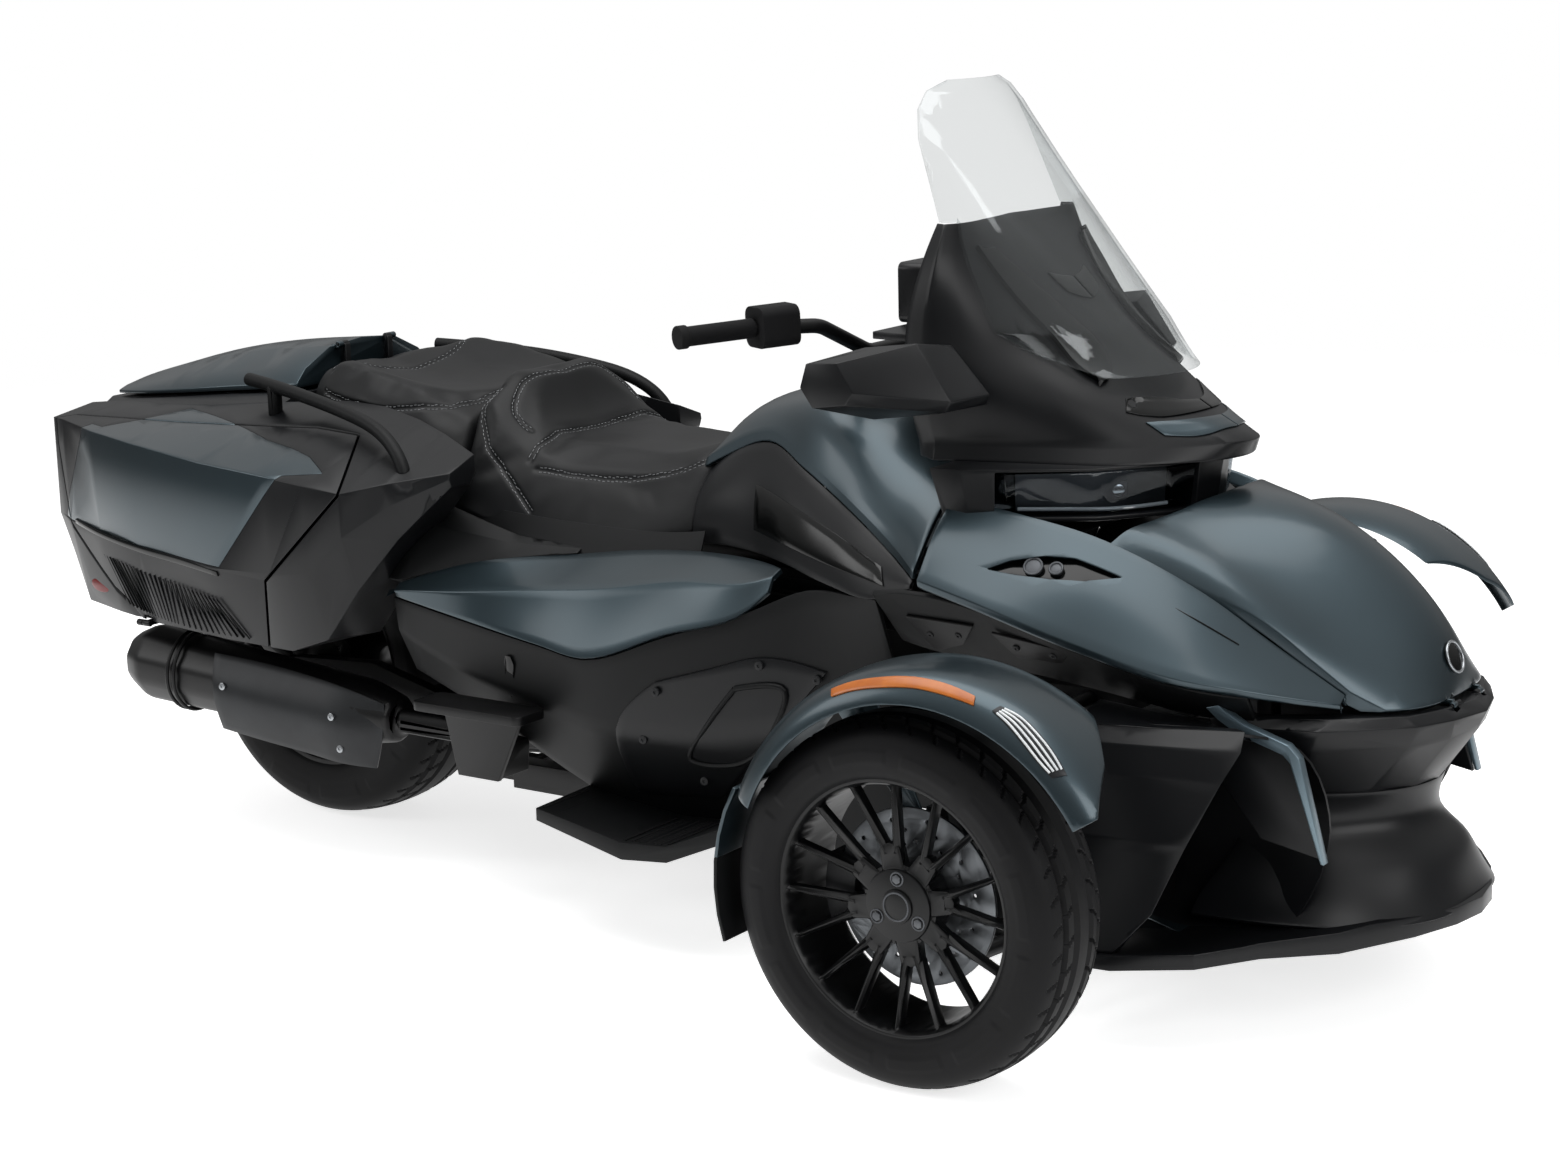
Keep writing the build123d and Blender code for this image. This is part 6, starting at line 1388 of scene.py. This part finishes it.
class TrikeSizes(bpy.types.PropertyGroup):
    """Sizes of the added detail, and the studio."""

    edge_round: bpy.props.FloatProperty(
        name="Edge rounding", description="Radius that softens moulded edges", default=0.0015,
        min=0, max=0.01, unit="LENGTH", subtype="DISTANCE")
    camera_place: bpy.props.FloatVectorProperty(
        name="Camera place", description="Where the studio camera stands", default=(3.093, -4.266, 1.677),
        size=3, subtype="TRANSLATION", unit="LENGTH")
    camera_yaw: angle_setting("Camera yaw", "Turn of the camera about the vertical", 34.88)
    camera_pitch: angle_setting("Camera pitch", "Downward tilt of the camera", 12.26)
    camera_roll: angle_setting("Camera roll", "Lean of the camera", -1.37)
    camera_lens: bpy.props.FloatProperty(
        name="Lens", description="Focal length for a 36 mm wide sensor", default=70.3, min=20, max=200,
        unit="CAMERA")
    room_light: bpy.props.FloatProperty(
        name="Room light", description="Strength of the even white room", default=0.4, min=0, max=2)


class TRIKE_OT_stage(bpy.types.Operator):
    """Sets up the pale floor, the white room, the lamps and the camera"""

    bl_idname = "trike.stage"
    bl_label = "Studio Stage"

    def execute(self, context):
        sizes = context.scene.trike_sizes
        stage_floor()
        stage_world(sizes.room_light)
        for lamp in SOFTBOXES:
            softbox(*lamp)
        stage_camera(sizes)
        context.scene.view_settings.view_transform = "Standard"
        return {"FINISHED"}


class TRIKE_OT_bodywork(bpy.types.Operator):
    """Gives each moulded and painted panel its rounded edges and its finish"""

    bl_idname = "trike.bodywork"
    bl_label = "Bodywork"

    def execute(self, context):
        width = context.scene.trike_sizes.edge_round / MM
        for material, nodes in BODYWORK.items():
            for cad in nodes:
                dress(cad, material, **SOFT_CREASES.get(cad, {"width": width}))
        return {"FINISHED"}


class TRIKE_OT_skins(bpy.types.Operator):
    """Adds the smooth painted and moulded walls"""

    bl_idname = "trike.skins"
    bl_label = "Smooth Skins"

    def execute(self, context):
        make_skins()
        return {"FINISHED"}


class TRIKE_OT_boxes(bpy.types.Operator):
    """Adds the load boxes and fenders in their two finishes"""

    bl_idname = "trike.boxes"
    bl_label = "Boxes and Fenders"

    def execute(self, context):
        make_bags()
        make_fenders()
        return {"FINISHED"}


class TRIKE_OT_wheels(bpy.types.Operator):
    """Adds treaded tyres, hub faces, wheel nuts and calipers"""

    bl_idname = "trike.wheels"
    bl_label = "Wheels"

    def execute(self, context):
        make_wheels()
        make_calipers()
        return {"FINISHED"}


class TRIKE_OT_details(bpy.types.Operator):
    """Adds lamps, ducts, slots, covers, screws, ribs and trim"""

    bl_idname = "trike.details"
    bl_label = "Details"

    def execute(self, context):
        for make in (make_badge, make_sensors, make_brackets, make_ducts, make_cowl, make_headlights,
                     make_fender_lamps, make_fairing_details, make_cover_details, make_door_details,
                     make_muffler_details, make_seat_walls):
            make()
        return {"FINISHED"}


class TRIKE_OT_seats(bpy.types.Operator):
    """Adds the padded seats with their sewn lines"""

    bl_idname = "trike.seats"
    bl_label = "Seats"

    def execute(self, context):
        make_seats()
        return {"FINISHED"}


class TRIKE_PT_panel(bpy.types.Panel):
    """Lists the pieces of the trike and their sizes"""

    bl_idname = "TRIKE_PT_panel"
    bl_label = "Reverse Trike"
    bl_space_type = "VIEW_3D"
    bl_region_type = "UI"
    bl_category = "Reverse Trike"

    def draw(self, context):
        column = self.layout.column()
        for group in (context.scene.trike_colours, context.scene.trike_sizes):
            for name in group.__annotations__:
                column.prop(group, name)
        for operator in OPERATORS:
            column.operator(operator.bl_idname)


OPERATORS = (TRIKE_OT_bodywork, TRIKE_OT_skins, TRIKE_OT_boxes, TRIKE_OT_wheels, TRIKE_OT_details,
             TRIKE_OT_seats, TRIKE_OT_stage)
GROUPS = (TrikeColours, TrikeSizes)


def register():
    """Registers the classes and hangs their settings on the scene."""
    for item in (*GROUPS, *OPERATORS, TRIKE_PT_panel):
        bpy.utils.register_class(item)
    bpy.types.Scene.trike_colours = bpy.props.PointerProperty(type=TrikeColours)
    bpy.types.Scene.trike_sizes = bpy.props.PointerProperty(type=TrikeSizes)


def unregister():
    """Takes the settings and classes away again."""
    del bpy.types.Scene.trike_sizes
    del bpy.types.Scene.trike_colours
    for item in reversed((*GROUPS, *OPERATORS, TRIKE_PT_panel)):
        bpy.utils.unregister_class(item)


def main():
    register()
    MATERIALS.update(make_materials(bpy.context.scene.trike_colours))
    for operator in OPERATORS:
        group, name = operator.bl_idname.split(".")
        getattr(getattr(bpy.ops, group), name)()


if __name__ == "__main__":
    main()
